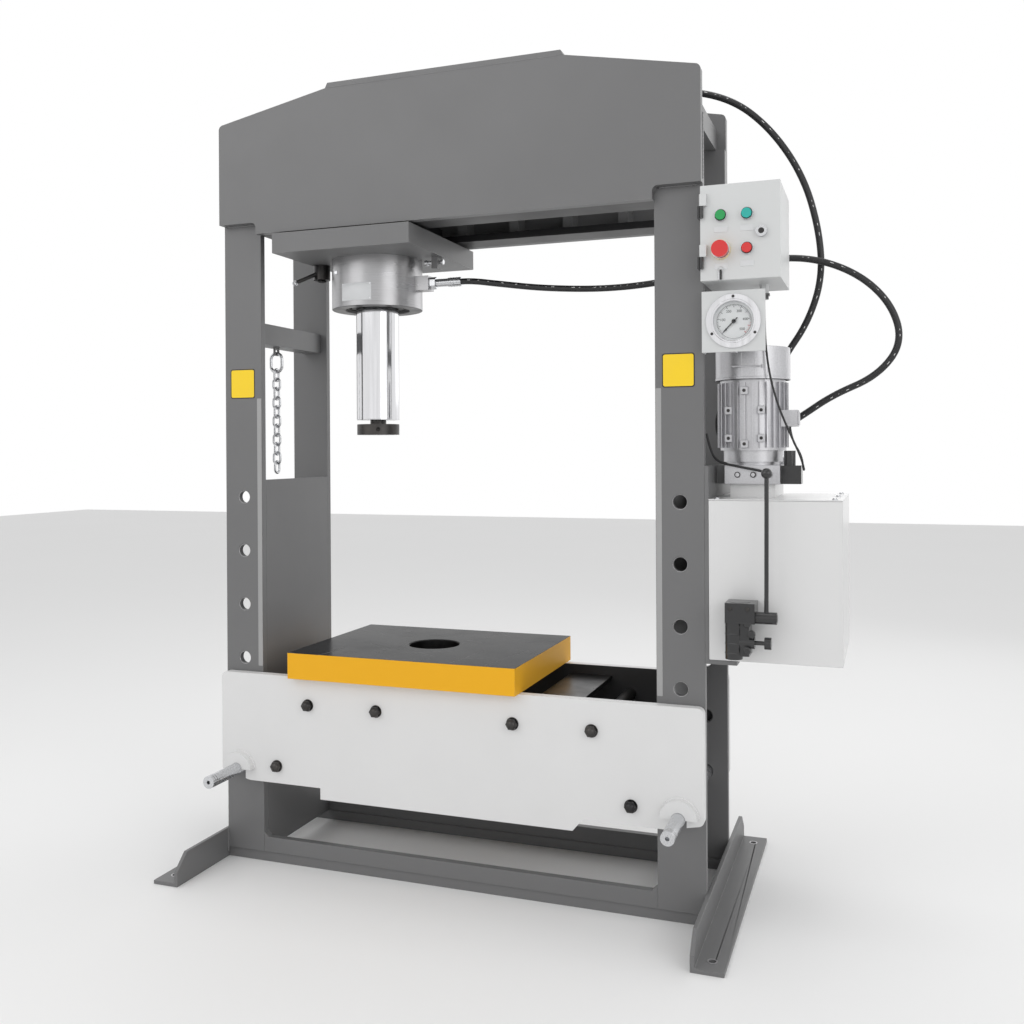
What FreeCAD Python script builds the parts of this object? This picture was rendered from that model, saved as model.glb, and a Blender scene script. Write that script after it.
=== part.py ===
import FreeCAD, Part
import math
import os
import Sketcher

# Motor-driven H-frame workshop press, built as a parametric document.
#
# Frame: two head plates lap over four flat pillars, and two floor angles carry
# them. Inside the head a sliding block carries the cylinder along two rails.
# Below it a table of two plates straddles the pillars and rests on two pins.
# The oil tank, motor, hand valve, switch box and pressure gauge hang on the
# right upright.
#
# Axes: +X to the operator's right, +Y to the back, +Z up. The origin lies on
# the floor at the centre of the four anchor holes. All lengths are millimetres.

# ---------------------------------------------------------------------------
# Driving dimensions
# ---------------------------------------------------------------------------
DIMENSIONS = {
    # welded frame
    "frame_height": 2132.0,
    "frame_depth": 428.0,
    "inner_width": 1110.0,
    "pillar_width": 118.0,
    "pillar_plate": 20.0,
    "head_plate": 25.0,
    "head_depth": 389.0,
    "head_lap": 32.0,
    "head_end": 309.0,
    "shoulder_half": 335.0,
    "cap_thickness": 14.0,
    "notch_radius": 14.0,
    "bar_tall": 58.0,
    "bar_wide": 60.0,
    "bar_inset": 24.0,
    "tie_rise": 209.0,
    "cap_tie_x": 280.0,
    "strut_height": 1447.0,
    "strut_inset": 20.0,
    "panel_thickness": 8.0,
    "panel_top": 1063.0,
    "skirt_height": 28.0,
    "skirt_inset": 5.0,
    # rails inside the head
    "slot_half": 105.0,
    "rail_thickness": 20.0,
    "gusset_width": 28.0,
    "gusset_depth": 59.0,
    "gusset_height": 80.0,
    "gusset_pitch": 160.0,
    # base
    "foot_length": 830.0,
    "foot_width": 75.0,
    "foot_height": 80.0,
    "foot_plate": 10.0,
    "foot_slope": 42.0,
    "anchor_offset": 42.0,
    "anchor_pitch": 736.0,
    "anchor_radius": 8.0,
    "beam_height": 42.0,
    # pin holes
    "hole_pitch": 150.0,
    "lowest_hole": 265.0,
    "pin_clearance": 0.3,
    "hole_chamfer": 2.5,
    # table
    "table_plate": 25.0,
    "table_height": 528.0,
    "table_end": 250.0,
    "table_edge": 232.0,
    "table_belly": 201.5,
    "edge_inset": 91.0,
    "belly_half": 361.0,
    "belly_slope": 26.0,
    "table_corner": 16.0,
    "table_gap": 0.5,
    "pin_radius": 16.7,
    "pin_front": 146.0,
    "pin_back": 60.0,
    "pin_drill": 5.0,
    "saddle_radius": 45.0,
    "saddle_thickness": 20.0,
    "outer_bolt_x": 398.0,
    "inner_bolt_x": 192.0,
    "tie_bolt_z": 453.0,
    "low_bolt_x": 496.0,
    "low_bolt_z": 279.0,
    "bolt_radius": 10.0,
    "bolt_gap": 0.3,
    "bolt_flats": 26.0,
    "bolt_head": 13.0,
    "spacer_radius": 17.0,
    "cross_flat_x": 286.0,
    "cross_flat_width": 120.0,
    "cross_flat_z": 492.0,
    "cross_flat_plate": 10.0,
    "press_plate_x": -118.0,
    "press_plate_width": 654.0,
    "press_plate_depth": 484.0,
    "press_plate_thickness": 70.0,
    "press_hole_radius": 71.5,
    # carriage and cylinder
    "carriage_x": -290.0,
    "carriage_width": 412.0,
    "carriage_depth": 448.0,
    "carriage_plate": 54.0,
    "carriage_drop": 5.0,
    "slide_gap": 0.5,
    "block_width": 300.0,
    "neck_half": 100.0,
    "lip_half": 124.0,
    "lip_thickness": 25.0,
    "barrel_radius": 128.5,
    "barrel_drop": 140.0,
    "upper_barrel_radius": 88.0,
    "upper_barrel_height": 290.0,
    "bore_radius": 75.0,
    "bore_end": 25.0,
    "gland_radius": 92.0,
    "gland_depth": 52.0,
    "gland_recess": 8.0,
    "rod_radius": 61.0,
    "rod_out": 314.0,
    "rod_gap": 0.05,
    "piston_length": 40.0,
    "neck_radius": 21.0,
    "neck_length": 12.0,
    "pad_radius": 60.0,
    "pad_thickness": 30.0,
    "pad_drill": 6.0,
    "pad_drill_x": 30.0,
    "pad_drill_y": 60.0,
    "port_drop": 72.0,
    "port_size": 40.0,
    "port_out": 168.0,
    "adapter_flats": 30.0,
    "adapter_length": 18.0,
    "fitting_radius": 11.0,
    "fitting_length": 36.0,
    "ferrule_radius": 12.5,
    "ferrule_length": 40.0,
    "upper_port_rise": 107.0,
    # clamps under the carriage plate
    "clamp_offset": 181.0,
    "clamp_radius": 24.0,
    "clamp_height": 42.0,
    "clamp_gap": 0.4,
    "stud_radius": 8.0,
    "lever_side": 56.0,
    "lever_forward": 57.04,
    "lever_dip": 34.0,
    "lever_start": 12.8,
    "lever_radius": 6.0,
    "lug_offset": 177.0,
    "lug_thickness": 18.0,
    "lug_height": 33.0,
    "screw_radius": 5.0,
    "screw_reach": 12.0,
    "screw_tail_radius": 7.0,
    "screw_tail": 3.0,
    "screw_drop": 14.0,
    "screw_length": 56.0,
    "screw_head": 8.0,
    # oil tank and what stands on it
    "tank_gap": 9.0,
    "tank_width": 306.0,
    "tank_depth": 378.0,
    "tank_bottom": 640.0,
    "tank_height": 380.0,
    "tank_wall": 3.0,
    "riser_height": 33.0,
    "riser_inset": 12.0,
    "block_x": 34.0,
    "block_long": 133.0,
    "block_front": -100.0,
    "block_deep": 226.0,
    "block_tall": 46.0,
    "plug_radius": 10.5,
    "plug_first": 21.0,
    "plug_second": 56.7,
    "plug_third": 92.4,
    "plug_flats": 12.6,
    "plug_proud": 3.5,
    "pump_radius": 42.0,
    "pump_length": 150.0,
    "motor_x": 94.0,
    "motor_y": -20.0,
    "motor_neck": 8.0,
    "flange_height": 28.0,
    "flange_radius": 72.0,
    "motor_height": 174.0,
    "motor_radius": 80.0,
    "terminal_out": 72.0,
    "motor_bore": 64.0,
    "elbow_reach": 26.0,
    "elbow_rise": 16.0,
    "elbow_height": 93.0,
    "hose_lead": 30.0,
    "rotor_radius": 60.0,
    "fin_height": 7.0,
    "fin_width": 3.2,
    "cowl_height": 80.0,
    "hose_inset": 32.0,
    "cowl_radius": 91.0,
    "cowl_wall": 2.5,
    "vent_radius": 7.0,
    "vent_circle": 56.4,
    "shaft_radius": 12.0,
    "fan_radius": 74.0,
    "coil_front": -80.0,
    "coil_width": 48.0,
    "coil_deep": 50.0,
    "coil_tall": 45.0,
    "coil_cap": 36.0,
    # hand valve in front of the tank
    "valve_out": 46.0,
    "valve_x": 74.0,
    "valve_bottom": 656.0,
    "valve_barrel": 100.0,
    "valve_radius": 20.0,
    "valve_cap": 31.0,
    "valve_cap_height": 46.5,
    "cap_long": 68.0,
    "sleeve_length": 48.0,
    "sleeve_radius": 14.0,
    "sleeve_z": 753.0,
    "spindle_radius": 8.0,
    "fit_gap": 0.05,
    "handle_length": 332.0,
    "handle_lean": 2.0,
    "handle_radius": 5.0,
    "handle_knob": 12.5,
    "release_z": 695.0,
    "release_length": 15.0,
    "release_neck": 22.0,
    "release_seat": 19.2,
    "web_width": 36.0,
    "web_height": 84.0,
    "web_low": 664.0,
    "web_front": 12.0,
    "release_radius": 14.0,
    # switch box
    "box_width": 183.0,
    "box_height": 223.0,
    "box_depth": 206.0,
    "box_back": -5.0,
    "box_bottom": 1536.0,
    "box_wall": 1.5,
    "cable_gland_x": 133.6,
    "door_depth": 16.0,
    "door_gap": 1.0,
    "hinge_radius": 5.0,
    "hinge_height": 28.0,
    "leaf_width": 12.0,
    "upper_hinge": 1682.0,
    "lower_hinge": 1563.0,
    "left_button": 48.0,
    "right_button": 108.0,
    "top_button_z": 1686.0,
    "low_button_z": 1606.0,
    "button_radius": 11.5,
    "button_gap": 0.3,
    "bezel_radius": 14.5,
    "bezel_height": 7.0,
    "cap_height": 8.0,
    "cap_proud": 12.0,
    "stem_radius": 4.0,
    "stem_length": 12.0,
    "stop_base_radius": 22.0,
    "stop_base_height": 8.0,
    "stop_radius": 19.5,
    "stop_height": 12.0,
    "stop_travel": 4.0,
    "lock_x": 141.0,
    "lock_z": 1643.0,
    "lock_radius": 13.0,
    "lock_height": 9.0,
    "gland_length": 24.0,
    # gauge
    "gauge_x": 74.0,
    "gauge_z": 1441.0,
    "gauge_panel_width": 147.0,
    "gauge_panel_height": 144.0,
    "gauge_panel": 3.0,
    "gauge_radius": 52.0,
    "gauge_flange": 63.0,
    "gauge_lip": 5.0,
    "gauge_depth": 38.0,
    "dial_radius": 47.0,
    "dial_depth": 14.0,
    "glass_thickness": 2.0,
    "needle_length": 34.0,
    "needle_tail": 12.0,
    "needle_width": 2.6,
    "needle_hub": 4.0,
    "needle_boss": 6.0,
    "stem_radius_gauge": 7.0,
    "stem_back": 8.5,
    "stem_drop": 73.0,
    # chain on the left strut
    "chain_y": -35.0,
    "lug_plate": 6.0,
    "lug_drop": 24.0,
    "lug_hole": 8.0,
    "shackle_lift": 0.5,
    "shackle_wire": 4.5,
    "shackle_inside": 46.0,
    "shackle_wide": 28.0,
    "link_wire": 3.5,
    "link_inside": 27.0,
    "link_wide": 15.0,
    # hoses and cable
    "hose_radius": 8.5,
    "cable_radius": 2.6,
}


class Size:
    """A length with its value and the sheet expression that gives it."""

    def __init__(self, value, text):
        self.value = float(value)
        self.text = text

    @staticmethod
    def of(number):
        """Wrap a plain number, and leave a Size as it is."""
        if isinstance(number, Size):
            return number
        return Size(number, repr(float(number)))

    def __add__(self, other):
        other = Size.of(other)
        return Size(self.value + other.value, f"({self.text} + {other.text})")

    def __radd__(self, other):
        return Size.of(other) + self

    def __sub__(self, other):
        other = Size.of(other)
        return Size(self.value - other.value, f"({self.text} - {other.text})")

    def __rsub__(self, other):
        return Size.of(other) - self

    def __mul__(self, other):
        other = Size.of(other)
        return Size(self.value * other.value, f"({self.text} * {other.text})")

    def __rmul__(self, other):
        return Size.of(other) * self

    def __truediv__(self, other):
        other = Size.of(other)
        return Size(self.value / other.value, f"({self.text} / {other.text})")

    def __neg__(self):
        return Size(-self.value, f"(0 - {self.text})")


class SizeTable:
    """The driving dimensions, each an attribute of the same name."""


doc = FreeCAD.newDocument("WorkshopPress")
sheet = doc.addObject("Spreadsheet::Sheet", "dims")
S = SizeTable()
for row, (alias, number) in enumerate(DIMENSIONS.items(), start=1):
    sheet.set(f"A{row}", alias)
    sheet.set(f"B{row}", str(number))
    sheet.setAlias(f"B{row}", alias)
    setattr(S, alias, Size(number, f"dims.{alias}"))
doc.recompute()

Vector = FreeCAD.Vector
Rotation = FreeCAD.Rotation
TURNS = {
    "+Z": Rotation(),
    "-Z": Rotation(Vector(1, 0, 0), 180),
    "+X": Rotation(Vector(0, 1, 0), 90),
    "-X": Rotation(Vector(0, 1, 0), -90),
    "+Y": Rotation(Vector(1, 0, 0), -90),
    "-Y": Rotation(Vector(1, 0, 0), 90),
}

SUBPARTS = []      # one object for each named piece, in the order they are made


# ---------------------------------------------------------------------------
# Small builders
# ---------------------------------------------------------------------------
def bind(obj, prop, size):
    """Give a property its value and tie it to the sheet."""
    size = Size.of(size)
    setattr(obj, prop, size.value)
    obj.setExpression(prop, size.text)


def place(obj, x, y, z, turn="+Z"):
    """Put an object's origin at x, y, z, with its local Z along the named axis."""
    x, y, z = Size.of(x), Size.of(y), Size.of(z)
    obj.Placement = FreeCAD.Placement(Vector(x.value, y.value, z.value), TURNS[turn])
    obj.setExpression("Placement.Base.x", x.text)
    obj.setExpression("Placement.Base.y", y.text)
    obj.setExpression("Placement.Base.z", z.text)
    return obj


def box(name, x, y, z, dx, dy, dz):
    """A block with its low corner at x, y, z."""
    block = doc.addObject("Part::Box", name)
    bind(block, "Length", dx)
    bind(block, "Width", dy)
    bind(block, "Height", dz)
    return place(block, x, y, z)


def rod(name, x, y, z, radius, length, turn="+Z"):
    """A cylinder that starts at x, y, z and runs along the named axis."""
    cylinder = doc.addObject("Part::Cylinder", name)
    bind(cylinder, "Radius", radius)
    bind(cylinder, "Height", length)
    return place(cylinder, x, y, z, turn)


def ball(name, x, y, z, radius):
    """A sphere centred on x, y, z."""
    sphere = doc.addObject("Part::Sphere", name)
    bind(sphere, "Radius", radius)
    return place(sphere, x, y, z)


def hexagon(name, x, y, z, flats, length, turn):
    """A hexagonal bar, measured across its flats."""
    bar = doc.addObject("Part::Prism", name)
    bar.Polygon = 6
    bind(bar, "Circumradius", Size.of(flats) / math.sqrt(3.0))
    bind(bar, "Height", length)
    return place(bar, x, y, z, turn)


def fuse(name, pieces):
    """Join pieces that are one casting, forging or weldment."""
    joined = doc.addObject("Part::MultiFuse", name)
    joined.Shapes = pieces
    joined.Refine = True
    return joined


def cut(name, base, tools):
    """Take the tools away from the base."""
    tool = tools[0] if len(tools) == 1 else fuse(name + "_tools", tools)
    result = doc.addObject("Part::Cut", name)
    result.Base = base
    result.Tool = tool
    result.Refine = True
    return result


def group(name, pieces):
    """Keep like pieces as separate solids in one sub-part."""
    together = doc.addObject("Part::Compound", name)
    together.Links = pieces
    return together


def keep(obj, label):
    """Name an object as a finished sub-part."""
    obj.Label = label
    SUBPARTS.append(obj)
    return obj


def fix_point(sketch, geometry, vertex, x, y):
    """Tie a sketch point to x, y from the sketch origin, whatever their signs."""
    for kind, size, axis in (("DistanceX", Size.of(x), -2), ("DistanceY", Size.of(y), -1)):
        if abs(size.value) < 1e-9:
            sketch.addConstraint(Sketcher.Constraint("PointOnObject", geometry, vertex, axis))
            continue
        ends = (-1, 1, geometry, vertex) if size.value > 0 else (geometry, vertex, -1, 1)
        magnitude = size if size.value > 0 else -size
        index = sketch.addConstraint(Sketcher.Constraint(kind, *ends, magnitude.value))
        sketch.setExpression(f"Constraints[{index}]", magnitude.text)


PLANES = {"XZ": "XZ_Plane", "YZ": "YZ_Plane", "XY": "XY_Plane"}


def flat_plate(label, plane, outline, thickness, low, holes=(), rounds=()):
    """A flat plate cut to an outline: a body with one sketch, a pad and rounded corners.

    outline and holes lie in the named plane. low is the plate's lowest
    coordinate across it. holes are (x, y, radius). rounds are (x, y, radius)
    for corners of the outline.
    """
    body = doc.addObject("PartDesign::Body", label + "_body")
    sketch = body.newObject("Sketcher::SketchObject", label + "_sketch")
    role = PLANES[plane]
    base = [item for item in body.Origin.OriginFeatures if item.Role == role][0]
    sketch.AttachmentSupport = [(base, "")]
    sketch.MapMode = "FlatFace"
    outline = [(Size.of(x), Size.of(y)) for x, y in outline]
    count = len(outline)
    for index, (x, y) in enumerate(outline):
        nx, ny = outline[(index + 1) % count]
        sketch.addGeometry(Part.LineSegment(Vector(x.value, y.value, 0), Vector(nx.value, ny.value, 0)))
    for index in range(count):
        sketch.addConstraint(Sketcher.Constraint("Coincident", index, 2, (index + 1) % count, 1))
    for index, (x, y) in enumerate(outline):
        fix_point(sketch, index, 1, x, y)
    for x, y, radius in holes:
        x, y, radius = Size.of(x), Size.of(y), Size.of(radius)
        circle = Part.Circle(Vector(x.value, y.value, 0), Vector(0, 0, 1), radius.value)
        number = sketch.addGeometry(circle)
        fix_point(sketch, number, 3, x, y)
        index = sketch.addConstraint(Sketcher.Constraint("Radius", number, radius.value))
        sketch.setExpression(f"Constraints[{index}]", radius.text)
    pad = body.newObject("PartDesign::Pad", label + "_pad")
    pad.Profile = sketch
    bind(pad, "Length", thickness)
    low, thickness = Size.of(low), Size.of(thickness)
    zero = Size.of(0)
    if plane == "XZ":       # the pad runs towards -Y from its plane
        place(body, zero, low + thickness, zero)
    elif plane == "YZ":
        place(body, low, zero, zero)
    else:
        place(body, zero, zero, low)
    doc.recompute()
    for x, y, radius in rounds:
        round_corner(body, plane, Size.of(x).value, Size.of(y).value, radius)
    return body


def round_corner(body, plane, x, y, radius):
    """Round the edge of a plate that stands on the outline's corner x, y."""
    tip = body.Tip
    for number, edge in enumerate(tip.Shape.Edges, start=1):
        middle = edge.CenterOfMass
        across = {"XZ": (middle.x, middle.z), "YZ": (middle.y, middle.z), "XY": (middle.x, middle.y)}[plane]
        if math.hypot(across[0] - x, across[1] - y) < 1e-4:
            fillet = body.newObject("PartDesign::Fillet", body.Name + "_round")
            fillet.Base = (tip, [f"Edge{number}"])
            bind(fillet, "Radius", radius)
            doc.recompute()
            return
    raise RuntimeError(f"{body.Label} has no corner at {x}, {y}")


def chamfer_holes(body, radius, size):
    """Break the rims of the round holes of the given radius, on both faces."""
    tip = body.Tip
    rims = []
    for number, edge in enumerate(tip.Shape.Edges, start=1):
        if isinstance(edge.Curve, Part.Circle) and abs(edge.Curve.Radius - radius.value) < 1e-6:
            rims.append(f"Edge{number}")
    chamfer = body.newObject("PartDesign::Chamfer", body.Name + "_chamfer")
    chamfer.Base = (tip, rims)
    bind(chamfer, "Size", size)
    doc.recompute()


def leaning_rod(name, start, end, radius):
    """A round bar between two points."""
    start = [Size.of(value) for value in start]
    end = [Size.of(value) for value in end]
    reach = Vector(*[b.value - a.value for a, b in zip(start, end)])
    bar = doc.addObject("Part::Cylinder", name)
    bind(bar, "Radius", radius)
    bar.Height = reach.Length
    place(bar, *start)
    bar.Placement = FreeCAD.Placement(bar.Placement.Base, Rotation(Vector(0, 0, 1), reach))
    return bar


def round_path(points):
    """Straight runs joined by tangent arcs; returns the wire and the bend radii."""
    edges = []
    radii = []
    last = points[0]
    for before, corner, after in zip(points, points[1:], points[2:]):
        back = before - corner
        ahead = after - corner
        setback = 0.45 * min(back.Length, ahead.Length)
        half_turn = (math.pi - back.getAngle(ahead)) / 2.0
        radius = setback / math.tan(half_turn)
        radii.append(radius)
        back.normalize()
        ahead.normalize()
        middle = back + ahead
        middle.normalize()
        first = corner + back * setback
        second = corner + ahead * setback
        crown = corner + middle * (radius / math.cos(half_turn) - radius)
        edges.append(Part.LineSegment(last, first).toShape())
        edges.append(Part.Arc(first, crown, second).toShape())
        last = second
    edges.append(Part.LineSegment(last, points[-1]).toShape())
    return Part.Wire(edges), radii


def tube(label, points, radius):
    """A flexible hose or cable through the given points."""
    points = [Vector(*[Size.of(value).value for value in point]) for point in points]
    path, radii = round_path(points)
    start = points[1] - points[0]
    section = Part.Wire(Part.Circle(points[0], start, radius.value).toShape())
    shape = path.makePipeShell([section], True, True)
    hose = doc.addObject("Part::Feature", label + "_tube")
    hose.Shape = shape
    hose.Placement = FreeCAD.Placement()
    expected = math.pi * radius.value ** 2 * path.Length
    print(f"{label}: length {path.Length:.1f}, volume {shape.Volume:.0f} of {expected:.0f}")
    print(f"{label}: bend radii " + ", ".join(f"{value:.0f}" for value in radii))
    return keep(hose, label)


def ring(inside, wide, wire, top, x, y, plane):
    """An oval ring that hangs with its upper wire centred at height top."""
    bend = wide / 2.0 + wire
    leg = inside + 2.0 * wire - 2.0 * bend
    across = Vector(1, 0, 0) if plane == "XZ" else Vector(0, 1, 0)
    up = Vector(0, 0, 1)
    crown = Vector(x, y, top)
    corners = [
        crown - up * bend + across * bend,
        crown - up * (bend + leg) + across * bend,
        crown - up * (bend + leg) - across * bend,
        crown - up * bend - across * bend,
    ]
    foot = crown - up * (2.0 * bend + leg)
    path = Part.Wire([
        Part.LineSegment(corners[0], corners[1]).toShape(),
        Part.Arc(corners[1], foot, corners[2]).toShape(),
        Part.LineSegment(corners[2], corners[3]).toShape(),
        Part.Arc(corners[3], crown, corners[0]).toShape(),
    ])
    section = Part.Wire(Part.Circle(corners[0], up, wire).toShape())
    return path.makePipeShell([section], True, True)


# ---------------------------------------------------------------------------
# Shared planes
# ---------------------------------------------------------------------------
inner_x = S.inner_width / 2.0                    # inner edge of the pillars
outer_x = inner_x + S.pillar_width               # outer edge of the pillars
edge_half = outer_x - S.edge_inset               # where the raised ends of the table plates begin
hole_radius = S.pin_radius + S.pin_clearance
front_y = -(S.frame_depth / 2.0)                 # front face of the head
back_y = S.frame_depth / 2.0
lap_y = back_y - S.head_plate                    # face where head plates meet the pillars
core_y = lap_y - S.pillar_plate                  # inner face of the pillars
head_bottom = S.frame_height - S.head_depth
shoulder_z = S.frame_height - S.cap_thickness
lap_z = head_bottom + S.head_lap
pillar_top = head_bottom + S.tie_rise
pin_x = inner_x + S.pillar_width / 2.0
zero = Size.of(0)

# ---------------------------------------------------------------------------
# Head
# ---------------------------------------------------------------------------
head_outline = [
    (-outer_x, lap_z), (-inner_x, lap_z), (-inner_x, head_bottom),
    (inner_x, head_bottom), (inner_x, lap_z), (outer_x, lap_z),
    (outer_x, head_bottom + S.head_end), (S.shoulder_half, shoulder_z),
    (-S.shoulder_half, shoulder_z), (-outer_x, head_bottom + S.head_end),
]
head_rounds = [
    (-inner_x, lap_z, S.notch_radius), (inner_x, lap_z, S.notch_radius),
    (outer_x, head_bottom + S.head_end, S.notch_radius),
    (-outer_x, head_bottom + S.head_end, S.notch_radius),
]
for label, low in (("head_front_plate", front_y), ("head_back_plate", lap_y)):
    plate = flat_plate(label, "XZ", head_outline, S.head_plate, low, rounds=head_rounds)
    keep(plate, label)

cap_outline = [
    (-S.shoulder_half, shoulder_z), (S.shoulder_half, shoulder_z),
    (S.shoulder_half - S.cap_thickness / 2.0, S.frame_height),
    (-(S.shoulder_half - S.cap_thickness / 2.0), S.frame_height),
]
keep(flat_plate("head_cap_plate", "XZ", cap_outline, S.frame_depth, front_y), "head_cap_plate")

rail_depth = lap_y - S.slot_half
keep(group("rails", [
    box("front_rail", -inner_x, -lap_y, head_bottom, S.inner_width, rail_depth, S.rail_thickness),
    box("back_rail", -inner_x, S.slot_half, head_bottom, S.inner_width, rail_depth, S.rail_thickness),
]), "carriage_rails")

stiffeners = []
rail_top = head_bottom + S.rail_thickness
for step in (-2.5, -1.5, -0.5, 0.5, 1.5, 2.5):
    post_x = S.gusset_pitch * step - S.gusset_width / 2.0
    for side, post_y in (("front", -lap_y), ("back", lap_y - S.gusset_depth)):
        post = box(f"post_{side}", post_x, post_y, rail_top, S.gusset_width, S.gusset_depth, S.gusset_height)
        stiffeners.append(post)
bar_length = lap_y * 2.0
end_bar = outer_x - S.bar_inset
for name, low_x, low_z in (
    ("left_end_bar", -end_bar, pillar_top),
    ("right_end_bar", end_bar - S.bar_wide, pillar_top),
    ("left_cap_bar", -S.cap_tie_x - S.bar_wide / 2.0, shoulder_z - S.bar_tall),
    ("right_cap_bar", S.cap_tie_x - S.bar_wide / 2.0, shoulder_z - S.bar_tall),
):
    stiffeners.append(box(name, low_x, -lap_y, low_z, S.bar_wide, bar_length, S.bar_tall))
keep(group("stiffeners", stiffeners), "head_stiffeners")

# ---------------------------------------------------------------------------
# Uprights
# ---------------------------------------------------------------------------
for side, sign in (("left", -1), ("right", 1)):
    near, far = (-outer_x, -inner_x) if sign < 0 else (inner_x, outer_x)
    outline = [(near, S.skirt_height), (far, S.skirt_height), (far, pillar_top), (near, pillar_top)]
    holes = [(pin_x * sign, S.lowest_hole + S.hole_pitch * step, hole_radius) for step in range(6)]
    for face, low in (("front", -lap_y), ("back", core_y)):
        label = f"{side}_{face}_pillar"
        pillar = flat_plate(label, "XZ", outline, S.pillar_plate, low, holes=holes)
        chamfer_holes(pillar, hole_radius, S.hole_chamfer)
        keep(pillar, label)

panel_height = S.panel_top - S.skirt_height
keep(group("panels", [
    box("left_panel", -inner_x - S.panel_thickness, -core_y, S.skirt_height,
        S.panel_thickness, core_y * 2.0, panel_height),
    box("right_panel", inner_x, -core_y, S.skirt_height, S.panel_thickness, core_y * 2.0, panel_height),
]), "side_panels")

strut_x = inner_x + S.strut_inset
lug_x = -strut_x - S.bar_wide / 2.0
lug_z = S.strut_height - S.lug_drop / 2.0 - S.link_wire / 2.0
left_strut = fuse("left_strut", [
    box("left_strut_bar", -strut_x - S.bar_wide, -core_y, S.strut_height, S.bar_wide, core_y * 2.0, S.bar_tall),
    box("chain_lug", lug_x - S.lug_plate / 2.0, S.chain_y - S.lug_drop / 2.0, S.strut_height - S.lug_drop,
        S.lug_plate, S.lug_drop, S.lug_drop),
])
left_strut = cut("left_strut_drilled", left_strut, [
    rod("lug_drill", lug_x - S.lug_plate, S.chain_y, lug_z, S.lug_hole, S.lug_plate * 2.0, "+X"),
])
right_strut = box("right_strut", strut_x, -core_y, S.strut_height, S.bar_wide, core_y * 2.0, S.bar_tall)
keep(group("struts", [left_strut, right_strut]), "side_struts")

# ---------------------------------------------------------------------------
# Base
# ---------------------------------------------------------------------------
beam_top = S.skirt_height + S.beam_height
beam_outline = [
    (-inner_x, S.skirt_height), (inner_x, S.skirt_height), (inner_x, beam_top + S.notch_radius),
    (inner_x - S.notch_radius, beam_top), (-inner_x + S.notch_radius, beam_top),
    (-inner_x, beam_top + S.notch_radius),
]
beams = []
for face, low, skirt_low in (("front", -lap_y, S.skirt_inset - lap_y), ("back", core_y, core_y - S.skirt_inset)):
    web = flat_plate(f"{face}_beam", "XZ", beam_outline, S.pillar_plate, low)
    skirt = box(f"{face}_skirt", -outer_x, skirt_low, 0, outer_x * 2.0, S.pillar_plate, S.skirt_height)
    beams.append(fuse(f"{face}_base_beam", [web, skirt]))
keep(group("base", beams), "base_beams")

foot_half = S.foot_length / 2.0
foot_outline = [
    (-foot_half, zero), (foot_half, zero), (foot_half, S.foot_height - S.foot_slope),
    (foot_half - S.foot_slope, S.foot_height), (S.foot_slope - foot_half, S.foot_height),
    (-foot_half, S.foot_height - S.foot_slope),
]
for side, low, flange_low, anchor_x in (
    ("left", -outer_x - S.foot_plate, -outer_x - S.foot_width, -outer_x - S.anchor_offset),
    ("right", outer_x, outer_x, outer_x + S.anchor_offset),
):
    web = flat_plate(f"{side}_foot_web", "YZ", foot_outline, S.foot_plate, low)
    flange = box(f"{side}_foot_flange", flange_low, -foot_half, 0, S.foot_width, S.foot_length, S.foot_plate)
    angle = fuse(f"{side}_angle", [web, flange])
    drills = [
        rod(f"{side}_anchor_{end}", anchor_x, S.anchor_pitch / 2.0 * end, -S.foot_plate,
            S.anchor_radius, S.foot_plate * 3.0)
        for end in (-1, 1)
    ]
    keep(cut(f"{side}_foot_drilled", angle, drills), f"{side}_foot")

# ---------------------------------------------------------------------------
# Table
# ---------------------------------------------------------------------------
belly_foot = S.belly_half - S.belly_slope / 2.0
table_outline = [
    (-outer_x, S.table_end), (-edge_half, S.table_edge), (-S.belly_half, S.table_edge),
    (-S.belly_half, S.table_belly), (belly_foot, S.table_belly), (belly_foot + S.belly_slope, S.table_edge),
    (edge_half, S.table_edge), (outer_x, S.table_end), (outer_x, S.table_height),
    (-outer_x, S.table_height),
]
bolt_places = [
    (-S.outer_bolt_x, S.tie_bolt_z), (-S.inner_bolt_x, S.tie_bolt_z), (S.inner_bolt_x, S.tie_bolt_z),
    (S.outer_bolt_x, S.tie_bolt_z), (-S.low_bolt_x, S.low_bolt_z), (S.low_bolt_x, S.low_bolt_z),
]
bolt_clear = S.bolt_radius + S.bolt_gap
table_holes = [(x, z, bolt_clear) for x, z in bolt_places]
table_rounds = [
    (-outer_x, S.table_height, S.table_corner), (outer_x, S.table_height, S.table_corner),
    (-outer_x, S.table_end, S.table_corner), (outer_x, S.table_end, S.table_corner),
]
table_inner = lap_y + S.table_gap                # face of the table plates nearest the pillars
table_outer = table_inner + S.table_plate
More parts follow.
